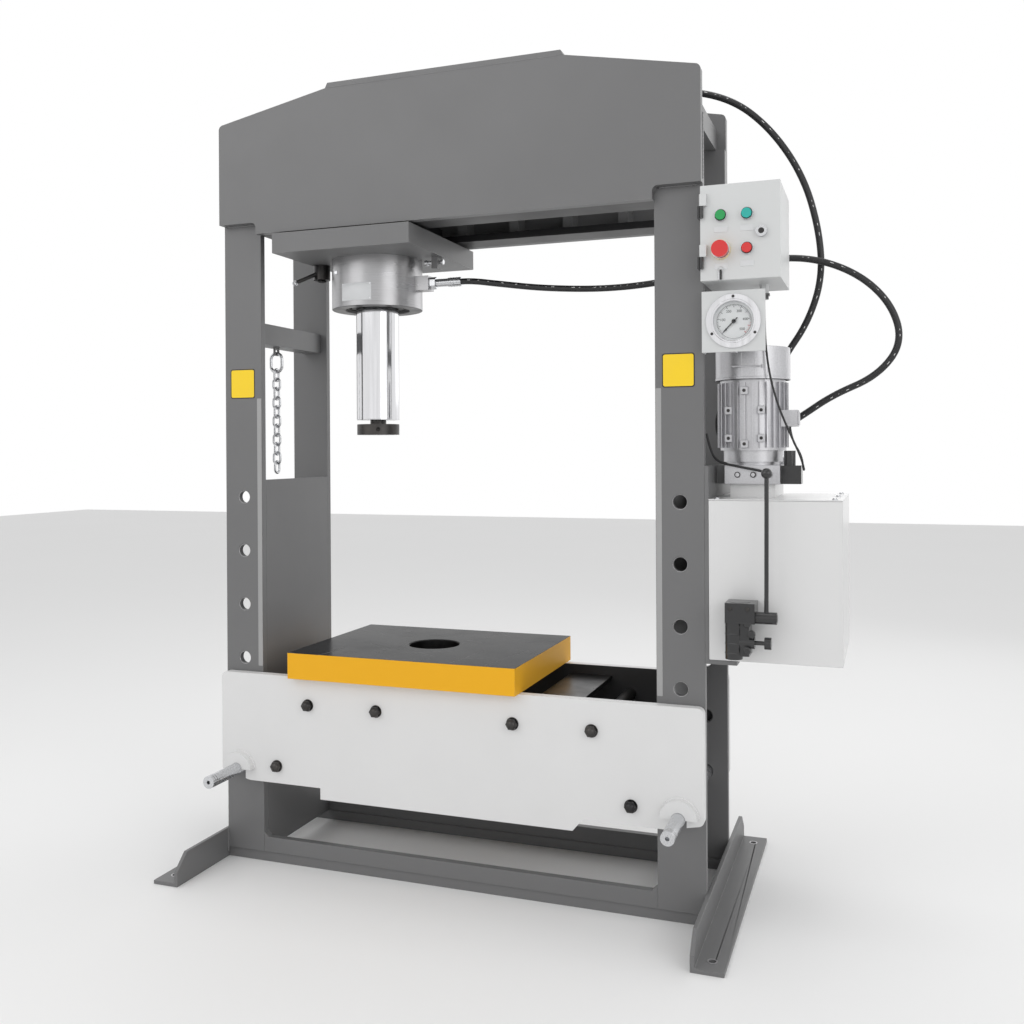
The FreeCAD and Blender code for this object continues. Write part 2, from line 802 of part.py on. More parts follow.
for face, low, saddle_low in (
    ("front", -table_outer, -table_outer - S.saddle_thickness),
    ("back", table_inner, table_outer),
):
    plate = flat_plate(f"table_{face}", "XZ", table_outline, S.table_plate, low,
                       holes=table_holes, rounds=table_rounds)
    rings = []
    tools = []
    for side, x in (("left", -pin_x), ("right", pin_x)):
        name = f"{face}_{side}"
        rings.append(rod(f"{name}_saddle", x, saddle_low, S.lowest_hole, S.saddle_radius, S.saddle_thickness, "+Y"))
        tools.append(rod(f"{name}_bore", x, low - S.saddle_thickness * 2.0, S.lowest_hole,
                         hole_radius, S.table_plate * 5.0, "+Y"))
        tools.append(box(f"{name}_slot", x - hole_radius, low - S.saddle_thickness * 2.0,
                         S.lowest_hole - S.saddle_radius * 2.0, hole_radius * 2.0,
                         S.table_plate * 5.0, S.saddle_radius * 2.0))
        tools.append(box(f"{name}_under", x - S.saddle_radius, saddle_low, S.lowest_hole - S.saddle_radius * 2.0,
                         S.saddle_radius * 2.0, S.saddle_thickness, S.saddle_radius * 2.0))
    welded = fuse(f"table_{face}_welded", [plate] + rings)
    keep(cut(f"table_{face}_cut", welded, tools), f"table_{face}_plate")

spacers = []
bolts = []
for number, (x, z) in enumerate(bolt_places, start=1):
    outer_tube = rod(f"spacer_{number}", x, -table_inner, z, S.spacer_radius, table_inner * 2.0, "+Y")
    inner_tube = rod(f"spacer_bore_{number}", x, -table_inner, z, bolt_clear, table_inner * 2.0, "+Y")
    spacers.append(cut(f"spacer_tube_{number}", outer_tube, [inner_tube]))
    bolts.append(fuse(f"bolt_{number}", [
        rod(f"shank_{number}", x, -table_outer, z, S.bolt_radius, table_outer * 2.0, "+Y"),
        hexagon(f"head_{number}", x, -table_outer - S.bolt_head, z, S.bolt_flats, S.bolt_head, "+Y"),
        hexagon(f"nut_{number}", x, table_outer, z, S.bolt_flats, S.bolt_head, "+Y"),
    ]))
for name, x in (("left_flat", -S.cross_flat_x), ("right_flat", S.cross_flat_x)):
    spacers.append(box(name, x - S.cross_flat_width / 2.0, -table_inner, S.cross_flat_z,
                       S.cross_flat_width, table_inner * 2.0, S.cross_flat_plate))
keep(group("spacers", spacers), "table_spacers")
keep(group("bolts", bolts), "table_bolts")

slab = box("press_slab", S.press_plate_x - S.press_plate_width / 2.0, -(S.press_plate_depth / 2.0),
           S.table_height, S.press_plate_width, S.press_plate_depth, S.press_plate_thickness)
keep(cut("press_slab_bored", slab, [
    rod("press_bore", S.press_plate_x, 0, S.table_height - S.press_plate_thickness,
        S.press_hole_radius, S.press_plate_thickness * 3.0),
]), "press_plate")

pin_length = S.pin_front + S.frame_depth + S.pin_back
for side, x in (("left", -pin_x), ("right", pin_x)):
    pin = rod(f"{side}_pin", x, front_y - S.pin_front, S.lowest_hole, S.pin_radius, pin_length, "+Y")
    drill = rod(f"{side}_pin_drill", x, front_y - S.pin_front, S.lowest_hole, S.pin_drill, S.pin_drill * 5.0, "+Y")
    keep(cut(f"{side}_pin_drilled", pin, [drill]), f"{side}_table_pin")

# ---------------------------------------------------------------------------
# Carriage and cylinder
# ---------------------------------------------------------------------------
plate_top = head_bottom - S.carriage_drop
plate_low = plate_top - S.carriage_plate
lip_low = rail_top + S.slide_gap
barrel_x = S.carriage_x
barrel_low = plate_low - S.barrel_drop
barrel_top = plate_low + S.upper_barrel_height

stud_x = barrel_x - S.clamp_offset
lug_low_x = barrel_x + S.lug_offset
screw_z = plate_low - S.screw_drop
carriage_solid = fuse("carriage_solid", [
    box("carriage_slab", barrel_x - S.carriage_width / 2.0, -(S.carriage_depth / 2.0), plate_low,
        S.carriage_width, S.carriage_depth, S.carriage_plate),
    rod("clamp_stud", stud_x, 0, plate_low - S.clamp_height - S.clamp_gap * 2.0, S.stud_radius,
        S.clamp_height + S.clamp_gap * 3.0),
    box("screw_lug", lug_low_x, -(S.lug_height / 2.0), plate_low - S.lug_height,
        S.lug_thickness, S.lug_height, S.lug_height),
])
keep(cut("carriage_bored", carriage_solid, [
    rod("carriage_bore", barrel_x, 0, plate_low - S.carriage_plate, S.upper_barrel_radius, S.carriage_plate * 3.0),
    rod("lug_bore", lug_low_x - S.lug_thickness, 0, screw_z, S.screw_radius + S.fit_gap,
        S.lug_thickness * 3.0, "+X"),
]), "carriage_plate")

block_solid = fuse("block_solid", [
    box("block_neck", barrel_x - S.block_width / 2.0, -S.neck_half, plate_top,
        S.block_width, S.neck_half * 2.0, lip_low - plate_top),
    box("block_lip", barrel_x - S.block_width / 2.0, -S.lip_half, lip_low,
        S.block_width, S.lip_half * 2.0, S.lip_thickness),
])
keep(cut("block_bored", block_solid, [
    rod("block_bore", barrel_x, 0, plate_low, S.upper_barrel_radius, S.upper_barrel_height),
]), "slide_block")

port_z = plate_low - S.port_drop
port_end = barrel_x + S.port_out
upper_port_z = plate_top + S.upper_port_rise
upper_port_end = barrel_x + S.upper_barrel_radius + S.cap_height
barrel_solid = fuse("barrel_solid", [
    rod("barrel_lower", barrel_x, 0, barrel_low, S.barrel_radius, S.barrel_drop),
    rod("barrel_upper", barrel_x, 0, plate_low, S.upper_barrel_radius, S.upper_barrel_height),
    box("port_block", barrel_x + S.gland_radius, -(S.port_size / 2.0), port_z - S.port_size / 2.0,
        S.port_out - S.gland_radius, S.port_size, S.port_size),
    rod("upper_boss", barrel_x + S.bore_radius, 0, upper_port_z, S.port_size / 2.0,
        S.upper_barrel_radius + S.cap_height - S.bore_radius, "+X"),
])
bore_low = barrel_low + S.gland_recess + S.gland_depth
keep(cut("barrel_bored", barrel_solid, [
    rod("gland_seat", barrel_x, 0, barrel_low, S.gland_radius, S.gland_recess + S.gland_depth),
    rod("main_bore", barrel_x, 0, bore_low, S.bore_radius, barrel_top - S.bore_end - bore_low),
]), "cylinder_barrel")

keep(cut("gland_bored", rod("gland_ring", barrel_x, 0, barrel_low + S.gland_recess, S.gland_radius, S.gland_depth), [
    rod("gland_hole", barrel_x, 0, barrel_low, S.rod_radius + S.rod_gap, S.gland_depth * 2.0),
]), "cylinder_gland")

lower_hose_x = port_end + S.adapter_length + S.fitting_length + S.ferrule_length
upper_hose_x = upper_port_end + S.adapter_length + S.ferrule_length
port_pieces = []
for name, x, z, middle in (
    ("lower", port_end, port_z, S.fitting_length),
    ("upper", upper_port_end, upper_port_z, None),
):
    pieces = [hexagon(f"{name}_adapter", x, 0, z, S.adapter_flats, S.adapter_length, "+X")]
    x = x + S.adapter_length
    if middle is not None:
        pieces.append(rod(f"{name}_fitting", x, 0, z, S.fitting_radius, middle, "+X"))
        x = x + middle
    pieces.append(rod(f"{name}_ferrule", x, 0, z, S.ferrule_radius, S.ferrule_length, "+X"))
    port_pieces.append(fuse(f"{name}_port_fitting", pieces))
keep(group("ports", port_pieces), "port_fittings")

clamp_low = plate_low - S.clamp_height - S.clamp_gap
clamp_middle = clamp_low + S.clamp_height / 2.0
lever_start = (stud_x, zero - S.lever_start, clamp_middle)
lever_end = (stud_x - S.lever_side, zero - S.lever_forward, clamp_middle - S.lever_dip)
keep(cut("left_clamp_bored", fuse("left_clamp_solid", [
    rod("clamp_hub", stud_x, 0, clamp_low, S.clamp_radius, S.clamp_height),
    leaning_rod("clamp_lever", lever_start, lever_end, S.lever_radius),
]), [
    rod("clamp_bore", stud_x, 0, clamp_low - S.clamp_height, S.stud_radius + S.fit_gap, S.clamp_height * 3.0),
]), "left_clamp_handle")

screw_end = lug_low_x + S.lug_thickness + S.screw_reach
keep(fuse("right_clamp_solid", [
    rod("clamp_screw", screw_end - S.screw_length, 0, screw_z, S.screw_radius, S.screw_length, "+X"),
    rod("screw_tail", screw_end - S.screw_tail, 0, screw_z, S.screw_tail_radius, S.screw_tail, "+X"),
    rod("screw_head", screw_end - S.screw_length, 0, screw_z, S.screw_head, S.screw_head, "+X"),
]), "right_clamp_handle")

# ---------------------------------------------------------------------------
# Ram
# ---------------------------------------------------------------------------
rod_low = barrel_low - S.rod_out
keep(fuse("ram_solid", [
    rod("ram_rod", barrel_x, 0, rod_low, S.rod_radius, bore_low - rod_low),
    rod("ram_piston", barrel_x, 0, bore_low, S.bore_radius - S.rod_gap, S.piston_length),
    rod("ram_neck", barrel_x, 0, rod_low - S.neck_length, S.neck_radius, S.neck_length),
]), "piston_rod")
pad_low = rod_low - S.neck_length - S.pad_thickness
pad_middle = pad_low + S.pad_thickness / 2.0
pad_top_hole = leaning_rod("pad_drill_tool", (barrel_x + S.pad_drill_x, zero - S.pad_drill_y, pad_middle),
                           (barrel_x + S.pad_drill_x / 2.0, zero - S.pad_drill_y / 2.0, pad_middle), S.pad_drill)
keep(cut("pad_drilled", rod("pad_disc", barrel_x, 0, pad_low, S.pad_radius, S.pad_thickness), [pad_top_hole]),
     "ram_pad")

# ---------------------------------------------------------------------------
# Oil tank, pump block and motor
# ---------------------------------------------------------------------------
tank_x = outer_x + S.tank_gap
tank_y = -(S.tank_depth / 2.0)
tank_top = S.tank_bottom + S.tank_height
motor_x = outer_x + S.motor_x
block_x = outer_x + S.block_x
riser_low = tank_top + S.tank_wall
block_low = riser_low + S.riser_height
block_top = block_low + S.block_tall

keep(cut("tank_shell", box("tank_solid", tank_x, tank_y, S.tank_bottom, S.tank_width, S.tank_depth, S.tank_height), [
    box("tank_inside", tank_x + S.tank_wall, tank_y + S.tank_wall, S.tank_bottom + S.tank_wall,
        S.tank_width - S.tank_wall * 2.0, S.tank_depth - S.tank_wall * 2.0, S.tank_height),
]), "oil_tank")
riser_y = S.block_front + S.riser_inset
riser_deep = S.block_deep - S.riser_inset * 2.0
keep(fuse("lid_solid", [
    box("lid_sheet", tank_x, tank_y, tank_top, S.tank_width, S.tank_depth, S.tank_wall),
    box("riser", block_x + S.riser_inset, riser_y, riser_low,
        S.block_long - S.riser_inset * 2.0, riser_deep, S.riser_height),
]), "tank_lid")
keep(fuse("bracket_solid", [
    box("bracket_web", outer_x, tank_y, S.tank_bottom - S.foot_plate, S.tank_gap, S.tank_depth,
        block_top - S.tank_bottom + S.foot_plate),
    box("bracket_shelf", outer_x, tank_y, S.tank_bottom - S.foot_plate, S.foot_width, S.tank_depth, S.foot_plate),
    box("bracket_tie", outer_x, -S.bar_tall, block_low, S.block_x, S.bar_tall * 2.0, S.block_tall),
]), "tank_bracket")
keep(rod("pump_can", motor_x, S.motor_y, tank_top - S.pump_length, S.pump_radius, S.pump_length), "oil_pump")

shaft_low = block_top + S.motor_neck
block_pieces = [box("block_body", block_x, S.block_front, block_low, S.block_long, S.block_deep, S.block_tall)]
for number, offset in enumerate((S.plug_first, S.plug_second, S.plug_third), start=1):
    block_pieces.append(hexagon(f"plug_{number}", block_x + S.plug_radius + offset, S.block_front - S.plug_proud,
                                block_low + S.block_tall / 2.0, S.plug_flats, S.plug_proud, "+Y"))
keep(fuse("block_and_plugs", block_pieces), "manifold_block")

coil_x = block_x + S.block_long
coil_y = S.coil_front
keep(fuse("valve_and_coil", [
    box("coil", coil_x, coil_y, block_low, S.coil_width, S.coil_deep, S.coil_tall),
    rod("coil_cap", coil_x + S.coil_width * 0.4, coil_y + S.coil_deep / 2.0, block_low + S.coil_tall,
        S.release_radius, S.coil_cap),
]), "solenoid_valve")

motor_low = shaft_low + S.flange_height
motor_top = motor_low + S.motor_height
motor_pieces = [
    rod("motor_neck_ring", motor_x, S.motor_y, block_top, S.motor_bore, S.motor_neck),
    rod("motor_flange", motor_x, S.motor_y, shaft_low, S.flange_radius, S.flange_height),
    rod("motor_can", motor_x, S.motor_y, motor_low, S.motor_radius, S.motor_height),
]
fin_count = 30
for number in range(fin_count):
    angle = 2.0 * math.pi * number / fin_count
    fin = doc.addObject("Part::Box", f"fin_{number}")
    bind(fin, "Length", S.motor_radius + S.fin_height)
    bind(fin, "Width", S.fin_width)
    bind(fin, "Height", S.motor_height - S.fin_height * 2.0)
    half = S.fin_width / 2.0
    place(fin, motor_x + half * math.sin(angle), S.motor_y - half * math.cos(angle), motor_low + S.fin_height)
    fin.Placement = FreeCAD.Placement(fin.Placement.Base, Rotation(Vector(0, 0, 1), math.degrees(angle)))
    motor_pieces.append(fin)
terminal_x = S.terminal_out
motor_pieces.append(box("terminal_box", motor_x + terminal_x, S.motor_y - S.coil_width, motor_low + S.bar_tall,
                        S.port_size, S.coil_width, S.port_size))
core_low = motor_low + S.fin_height
core_high = motor_top - S.bar_inset / 2.0
keep(cut("motor_hollow", fuse("motor_solid", motor_pieces), [
    rod("rotor_space", motor_x, S.motor_y, core_low, S.motor_bore, core_high - core_low),
    rod("shaft_space", motor_x, S.motor_y, shaft_low, S.shaft_radius + S.fit_gap, S.motor_height * 2.0),
]), "motor_body")

fan_low = motor_top + S.shaft_radius
rotor_pieces = [
    rod("shaft", motor_x, S.motor_y, shaft_low + S.fit_gap, S.shaft_radius,
        fan_low - shaft_low + S.hinge_height),
    rod("rotor_core", motor_x, S.motor_y, core_low + S.fin_height, S.rotor_radius,
        core_high - core_low - S.fin_height * 2.0),
    rod("fan_hub", motor_x, S.motor_y, fan_low, S.shaft_radius * 2.0, S.hinge_height),
]
for number in range(4):
    angle = math.pi * number / 4.0
    blade = doc.addObject("Part::Box", f"blade_{number}")
    bind(blade, "Length", S.fan_radius * 2.0)
    bind(blade, "Width", S.fin_width)
    bind(blade, "Height", S.hinge_height)
    back = -S.fan_radius
    half = S.fin_width / 2.0
    place(blade, motor_x + back * math.cos(angle) + half * math.sin(angle),
          S.motor_y + back * math.sin(angle) - half * math.cos(angle), fan_low)
    blade.Placement = FreeCAD.Placement(blade.Placement.Base, Rotation(Vector(0, 0, 1), math.degrees(angle)))
    rotor_pieces.append(blade)
keep(fuse("rotor_solid", rotor_pieces), "motor_rotor")

vents = []
for number in range(12):
    angle = 2.0 * math.pi * number / 12
    reach = S.vent_circle
    vents.append(rod(f"vent_{number}", motor_x + reach * math.cos(angle), S.motor_y + reach * math.sin(angle),
                     motor_top, S.vent_radius, S.cowl_height * 2.0))
vents.append(rod("cowl_inside", motor_x, S.motor_y, motor_top - S.cowl_wall, S.cowl_radius - S.cowl_wall,
                 S.cowl_height))
keep(cut("cowl_hollow", rod("cowl_solid", motor_x, S.motor_y, motor_top, S.cowl_radius, S.cowl_height), vents),
     "fan_cowl")

# ---------------------------------------------------------------------------
# Hand valve in front of the tank
# ---------------------------------------------------------------------------
valve_x = outer_x + S.valve_x
valve_y = tank_y - S.valve_out
valve_top = S.valve_bottom + S.valve_barrel
cap_x = valve_x - S.cap_long / 2.0 + S.valve_radius * 0.8
sleeve_x = cap_x + S.cap_long + S.fit_gap
boss_end = valve_x + S.sleeve_length
boss_radius = S.spindle_radius + S.fit_gap
keep(cut("valve_drilled", fuse("valve_solid", [
    rod("valve_barrel_solid", valve_x, valve_y, S.valve_bottom, S.valve_radius, S.valve_barrel),
    box("valve_cap_solid", cap_x, valve_y - S.valve_radius, valve_top - S.valve_cap / 2.0, S.cap_long,
        S.valve_out + S.valve_radius, S.valve_cap_height),
    box("valve_web", valve_x, valve_y - S.web_front, S.web_low, S.web_width, S.valve_out + S.web_front,
        S.web_height),
    rod("lever_spindle", valve_x, valve_y, S.sleeve_z, S.spindle_radius,
        sleeve_x + S.sleeve_length + S.door_gap - valve_x, "+X"),
    rod("release_boss", valve_x, valve_y, S.release_z, S.sleeve_radius, S.sleeve_length, "+X"),
]), [
    rod("release_hole", boss_end - S.bar_inset, valve_y, S.release_z, S.screw_radius + S.fit_gap,
        S.bar_inset * 2.0, "+X"),
]), "valve_body")

handle_foot = (sleeve_x + S.bar_inset, valve_y, S.sleeve_z)
handle_top = (sleeve_x + S.bar_inset + S.handle_lean, valve_y, S.sleeve_z + S.handle_length)
keep(cut("lever_bored", fuse("lever_solid", [
    rod("lever_sleeve", sleeve_x, valve_y, S.sleeve_z, S.sleeve_radius, S.sleeve_length, "+X"),
    leaning_rod("lever_handle", handle_foot, handle_top, S.handle_radius),
    ball("lever_knob", handle_top[0], handle_top[1], handle_top[2], S.handle_knob),
]), [
    rod("lever_bore", sleeve_x - S.sleeve_length, valve_y, S.sleeve_z, boss_radius, S.sleeve_length * 3.0, "+X"),
]), "valve_lever")
keep(fuse("release_solid", [
    rod("release_grip", boss_end + S.release_neck, valve_y, S.release_z, S.release_radius, S.release_length, "+X"),
    rod("release_stem", boss_end - S.release_seat, valve_y, S.release_z, S.screw_radius,
        S.release_seat + S.release_neck, "+X"),
]), "release_knob")

# ---------------------------------------------------------------------------
# Switch box, door and controls
# ---------------------------------------------------------------------------
box_front = S.box_back - S.box_depth
door_back = box_front - S.door_gap
door_front = door_back - S.door_depth
cable_x = outer_x + S.cable_gland_x
cable_y = S.box_back - S.right_button
keep(fuse("box_and_gland", [
    cut("box_shell", box("box_solid", outer_x, box_front, S.box_bottom, S.box_width, S.box_depth, S.box_height), [
        box("box_inside", outer_x + S.box_wall, box_front - S.box_wall, S.box_bottom + S.box_wall,
            S.box_width - S.box_wall * 2.0, S.box_depth, S.box_height - S.box_wall * 2.0),
    ]),
    hexagon("gland_nut", cable_x, cable_y, S.box_bottom - S.gland_length, S.stop_radius, S.gland_length, "+Z"),
]), "control_box")

hinge_x = outer_x + S.bezel_height / 2.0
hinge_y = door_front - S.hinge_radius - S.door_gap
hinges = []
knuckles = []
for name, z in (("lower", S.lower_hinge), ("upper", S.upper_hinge)):
    hinges.append(fuse(f"{name}_hinge", [
        rod(f"{name}_fixed_knuckle", hinge_x, hinge_y, z, S.hinge_radius, S.hinge_height),
        box(f"{name}_strap", outer_x - S.hinge_radius, hinge_y - S.hinge_radius, z,
            S.hinge_radius - S.button_gap, box_front - hinge_y + S.hinge_radius * 3.0, S.hinge_height),
        box(f"{name}_strap_foot", outer_x - S.hinge_radius, box_front + S.door_gap, z,
            S.hinge_radius, S.hinge_radius, S.hinge_height),
    ]))
    high = z + S.hinge_height + S.button_gap
    knuckles.append(rod(f"{name}_door_knuckle", hinge_x, hinge_y, high, S.hinge_radius, S.hinge_height))
    knuckles.append(box(f"{name}_door_leaf", hinge_x, hinge_y - S.hinge_radius, high, S.leaf_width,
                        door_front - hinge_y + S.hinge_radius, S.hinge_height))
keep(group("hinges", hinges), "door_hinges")

left_x = outer_x + S.left_button
right_x = outer_x + S.right_button
lock_x = outer_x + S.lock_x
controls = [
    ("green_button", left_x, S.top_button_z), ("teal_button", right_x, S.top_button_z),
    ("red_button", right_x, S.low_button_z),
]
door_tray = cut("door_tray", box("door_solid", outer_x, door_front, S.box_bottom, S.box_width,
                                 S.door_depth, S.box_height), [
    box("door_inside", outer_x + S.box_wall, door_front + S.box_wall, S.box_bottom + S.box_wall,
        S.box_width - S.box_wall * 2.0, S.door_depth, S.box_height - S.box_wall * 2.0),
])
stem_clear = S.stem_radius + S.button_gap
drills = []
bezels = []
for name, x, z in controls + [("stop_button", left_x, S.low_button_z), ("door_lock", lock_x, S.lock_z)]:
    drills.append(rod(f"{name}_drill", x, door_front - S.door_depth, z, stem_clear, S.door_depth * 2.0, "+Y"))
keep(cut("door_drilled", fuse("door_and_knuckles", [door_tray] + knuckles), drills), "box_door")

for label, x, z in controls:
    bezels.append(cut(f"{label}_bezel", rod(f"{label}_bezel_solid", x, door_front - S.bezel_height, z,
                                            S.bezel_radius, S.bezel_height, "+Y"), [
        rod(f"{label}_bezel_bore", x, door_front - S.bezel_height * 2.0, z, S.button_radius + S.button_gap,
            S.bezel_height * 4.0, "+Y"),
    ]))
    keep(fuse(f"{label}_solid", [
        rod(f"{label}_cap", x, door_front - S.cap_proud, z, S.button_radius, S.cap_height, "+Y"),
        rod(f"{label}_stem", x, door_front - S.cap_proud, z, S.stem_radius, S.cap_proud + S.stem_length, "+Y"),
    ]), label)
bezels.append(cut("stop_base", rod("stop_base_solid", left_x, door_front - S.stop_base_height, S.low_button_z,
                                   S.stop_base_radius, S.stop_base_height, "+Y"), [
    rod("stop_base_bore", left_x, door_front - S.stop_base_height * 2.0, S.low_button_z, stem_clear,
        S.stop_base_height * 4.0, "+Y"),
]))
keep(group("bezels", bezels), "button_bezels")
stop_low = door_front - S.stop_base_height - S.stop_travel
keep(fuse("stop_solid", [
    rod("stop_cap", left_x, stop_low - S.stop_height, S.low_button_z, S.stop_radius, S.stop_height, "+Y"),
    rod("stop_stem", left_x, stop_low - S.stop_travel, S.low_button_z, S.stem_radius,
        S.stop_base_height + S.stop_travel * 2.0 + S.stem_length, "+Y"),
]), "stop_button")
keep(fuse("lock_solid", [
    rod("lock_cap", lock_x, door_front - S.lock_height - S.button_gap, S.lock_z, S.lock_radius, S.lock_height, "+Y"),
    rod("lock_stem", lock_x, door_front - S.lock_height, S.lock_z, S.stem_radius, S.lock_height + S.stem_length, "+Y"),
]), "door_lock")

# ---------------------------------------------------------------------------
# Pressure gauge
# ---------------------------------------------------------------------------
gauge_x = outer_x + S.gauge_x
panel_low = S.gauge_z - S.gauge_panel_height / 2.0
panel_y = front_y
keep(cut("gauge_panel_bored", fuse("gauge_panel_solid", [
    box("gauge_panel_sheet", outer_x, panel_y, panel_low, S.gauge_panel_width, S.gauge_panel, S.gauge_panel_height),
    box("gauge_panel_return", outer_x, panel_y, panel_low, S.gauge_panel, S.head_plate + S.pillar_plate,
        S.gauge_panel_height),
]), [
    rod("gauge_panel_hole", gauge_x, panel_y - S.head_plate, S.gauge_z, S.gauge_radius, S.head_plate * 3.0, "+Y"),
]), "gauge_plate")
gauge_front = panel_y - S.gauge_lip
dial_y = gauge_front + S.dial_depth
keep(cut("gauge_hollow", fuse("gauge_solid", [
    rod("gauge_rim", gauge_x, gauge_front, S.gauge_z, S.gauge_flange, S.gauge_lip, "+Y"),
    rod("gauge_drum", gauge_x, gauge_front, S.gauge_z, S.gauge_radius, S.gauge_lip + S.gauge_depth, "+Y"),
    rod("gauge_stem", gauge_x, dial_y + S.stem_back, S.gauge_z - S.stem_drop, S.stem_radius_gauge,
        S.gauge_radius, "+Z"),
]), [
    rod("gauge_cavity", gauge_x, gauge_front - S.dial_depth, S.gauge_z, S.dial_radius, S.dial_depth * 2.0, "+Y"),
]), "gauge_case")
keep(rod("glass_disc", gauge_x, gauge_front + S.glass_thickness / 2.0, S.gauge_z, S.dial_radius,
         S.glass_thickness, "+Y"), "gauge_glass")
needle_y = dial_y - S.needle_boss
pointer_end = (gauge_x - S.needle_length * 0.70, needle_y + S.needle_hub * 0.5, S.gauge_z - S.needle_length * 0.71)
pointer_tail = (gauge_x + S.needle_tail * 0.70, needle_y + S.needle_hub * 0.5, S.gauge_z + S.needle_tail * 0.71)
keep(fuse("needle_solid", [
    rod("needle_boss", gauge_x, needle_y, S.gauge_z, S.needle_hub, S.needle_boss - S.fit_gap, "+Y"),
    leaning_rod("pointer", pointer_tail, pointer_end, S.needle_width / 2.0),
]), "gauge_needle")

# ---------------------------------------------------------------------------
# Lifting chain on the left strut
# ---------------------------------------------------------------------------
wire_top = lug_z.value - S.lug_hole.value + S.shackle_wire.value + S.shackle_lift.value
chain_x = lug_x.value
chain_y = S.chain_y.value
links = [ring(S.shackle_inside.value, S.shackle_wide.value, S.shackle_wire.value, wire_top, chain_x, chain_y, "XZ")]
seat = wire_top - S.shackle_wire.value - S.shackle_inside.value
link_count = 11
for number in range(link_count):
    top = seat + S.link_wire.value
    plane = "XZ" if number % 2 else "YZ"
    links.append(ring(S.link_inside.value, S.link_wide.value, S.link_wire.value, top, chain_x, chain_y, plane))
    seat = top - S.link_wire.value - S.link_inside.value
chain = doc.addObject("Part::Feature", "chain_links")
chain.Shape = Part.makeCompound(links)
chain.Placement = FreeCAD.Placement()
keep(chain, "lifting_chain")

# ---------------------------------------------------------------------------
# Hoses and cable
# ---------------------------------------------------------------------------
fitting_y = S.block_front + S.block_deep - S.hose_inset
lower_foot_x = outer_x + S.block_x + S.block_long - S.bolt_head
upper_foot_x = outer_x + S.right_button - S.bolt_head
elbow_z = block_top + S.elbow_height
lower_end = (lower_foot_x + S.elbow_reach, fitting_y, elbow_z + S.elbow_rise)
lower_lead = (lower_foot_x + S.elbow_reach * 2.0, fitting_y, elbow_z + S.elbow_rise * 2.0)
upper_end_z = block_top + S.coil_width
keep(group("fittings", [
    fuse("lower_hose_fitting", [
        hexagon("lower_nut", lower_foot_x, fitting_y, block_top, S.adapter_flats, S.adapter_length, "+Z"),
        rod("lower_riser", lower_foot_x, fitting_y, block_top, S.fitting_radius, elbow_z - block_top),
        ball("lower_elbow", lower_foot_x, fitting_y, elbow_z, S.fitting_radius),
        leaning_rod("lower_ferrule_end", (lower_foot_x, fitting_y, elbow_z), lower_end, S.fitting_radius),
    ]),
    fuse("upper_hose_fitting", [
        hexagon("upper_nut", upper_foot_x, fitting_y, block_top, S.adapter_flats, S.adapter_length, "+Z"),
        rod("upper_riser", upper_foot_x, fitting_y, block_top, S.fitting_radius, upper_end_z - block_top),
    ]),
]), "hose_fittings")

# Each route point is a distance from the frame's right edge or from the cylinder.
tube("hose_lower", [
    (lower_hose_x, zero, port_z),
    (lower_hose_x + S.hose_lead, zero, port_z),
    (barrel_x + 360, 2.0, port_z - 11),
    (barrel_x + 510, 10.0, port_z - 33),
    (barrel_x + 690, 24.0, port_z - 42),
    (outer_x - 103, 36.0, port_z - 26),
    (outer_x + 47, 44.0, port_z + 6),
    (outer_x + 207, 46.0, port_z + 18),
    (outer_x + 335, 50.0, port_z - 28),
    (outer_x + 420, 56.0, port_z - 110),
    (outer_x + 448, 64.0, port_z - 210),
    (outer_x + 388, 74.0, port_z - 290),
    (outer_x + 280, 86.0, port_z - 335),
    lower_lead,
    lower_end,
], S.hose_radius)
tube("hose_upper", [
    (upper_hose_x, zero, upper_port_z),
    (upper_hose_x + S.hose_lead, zero, upper_port_z),
    (barrel_x + 240, 4.0, upper_port_z + 6),
    (barrel_x + 400, 12.0, upper_port_z + 42),
    (barrel_x + 560, 20.0, upper_port_z + 104),
    (barrel_x + 710, 30.0, upper_port_z + 180),
    (outer_x - 103, 40.0, upper_port_z + 240),
    (outer_x + 35, 52.0, upper_port_z + 204),
    (outer_x + 135, 64.0, upper_port_z + 116),
    (outer_x + 213, 74.0, upper_port_z - 10),
    (outer_x + 250, 84.0, upper_port_z - 150),
    (outer_x + 256, 90.0, upper_port_z - 270),
    (outer_x + 220, 94.0, upper_port_z - 380),
    (outer_x + 158, 95.0, upper_port_z - 470),
    (outer_x + 104, 95.0, upper_port_z - 580),
    (upper_foot_x, fitting_y, upper_end_z + S.hose_lead),
    (upper_foot_x, fitting_y, upper_end_z),
], S.hose_radius)
terminal_low = motor_low + S.bar_tall
cable_foot = motor_x + S.terminal_out + S.port_size / 2.0
tube("motor_cable", [
    (cable_x, cable_y, S.box_bottom - S.gland_length),
    (cable_x, cable_y, S.box_bottom - 80),
    (cable_x + 3, cable_y, S.box_bottom - 155),
    (cable_x + 14, cable_y, S.box_bottom - 230),
    (cable_x + 34, cable_y, S.box_bottom - 300),
    (cable_x + 62, cable_y, S.box_bottom - 366),
    (cable_x + 84, cable_y + 1, S.box_bottom - 416),
    (cable_x + 90, cable_y + 14, S.box_bottom - 446),
    (cable_x + 86, cable_y + 42, S.box_bottom - 444),
    (cable_x + 80, cable_y + 60, S.box_bottom - 410),
    (cable_foot + 4, S.motor_y - S.coil_width / 2.0 - 2.0, S.box_bottom - 372),
    (cable_foot, S.motor_y - S.coil_width / 2.0, terminal_low),
], S.cable_radius)

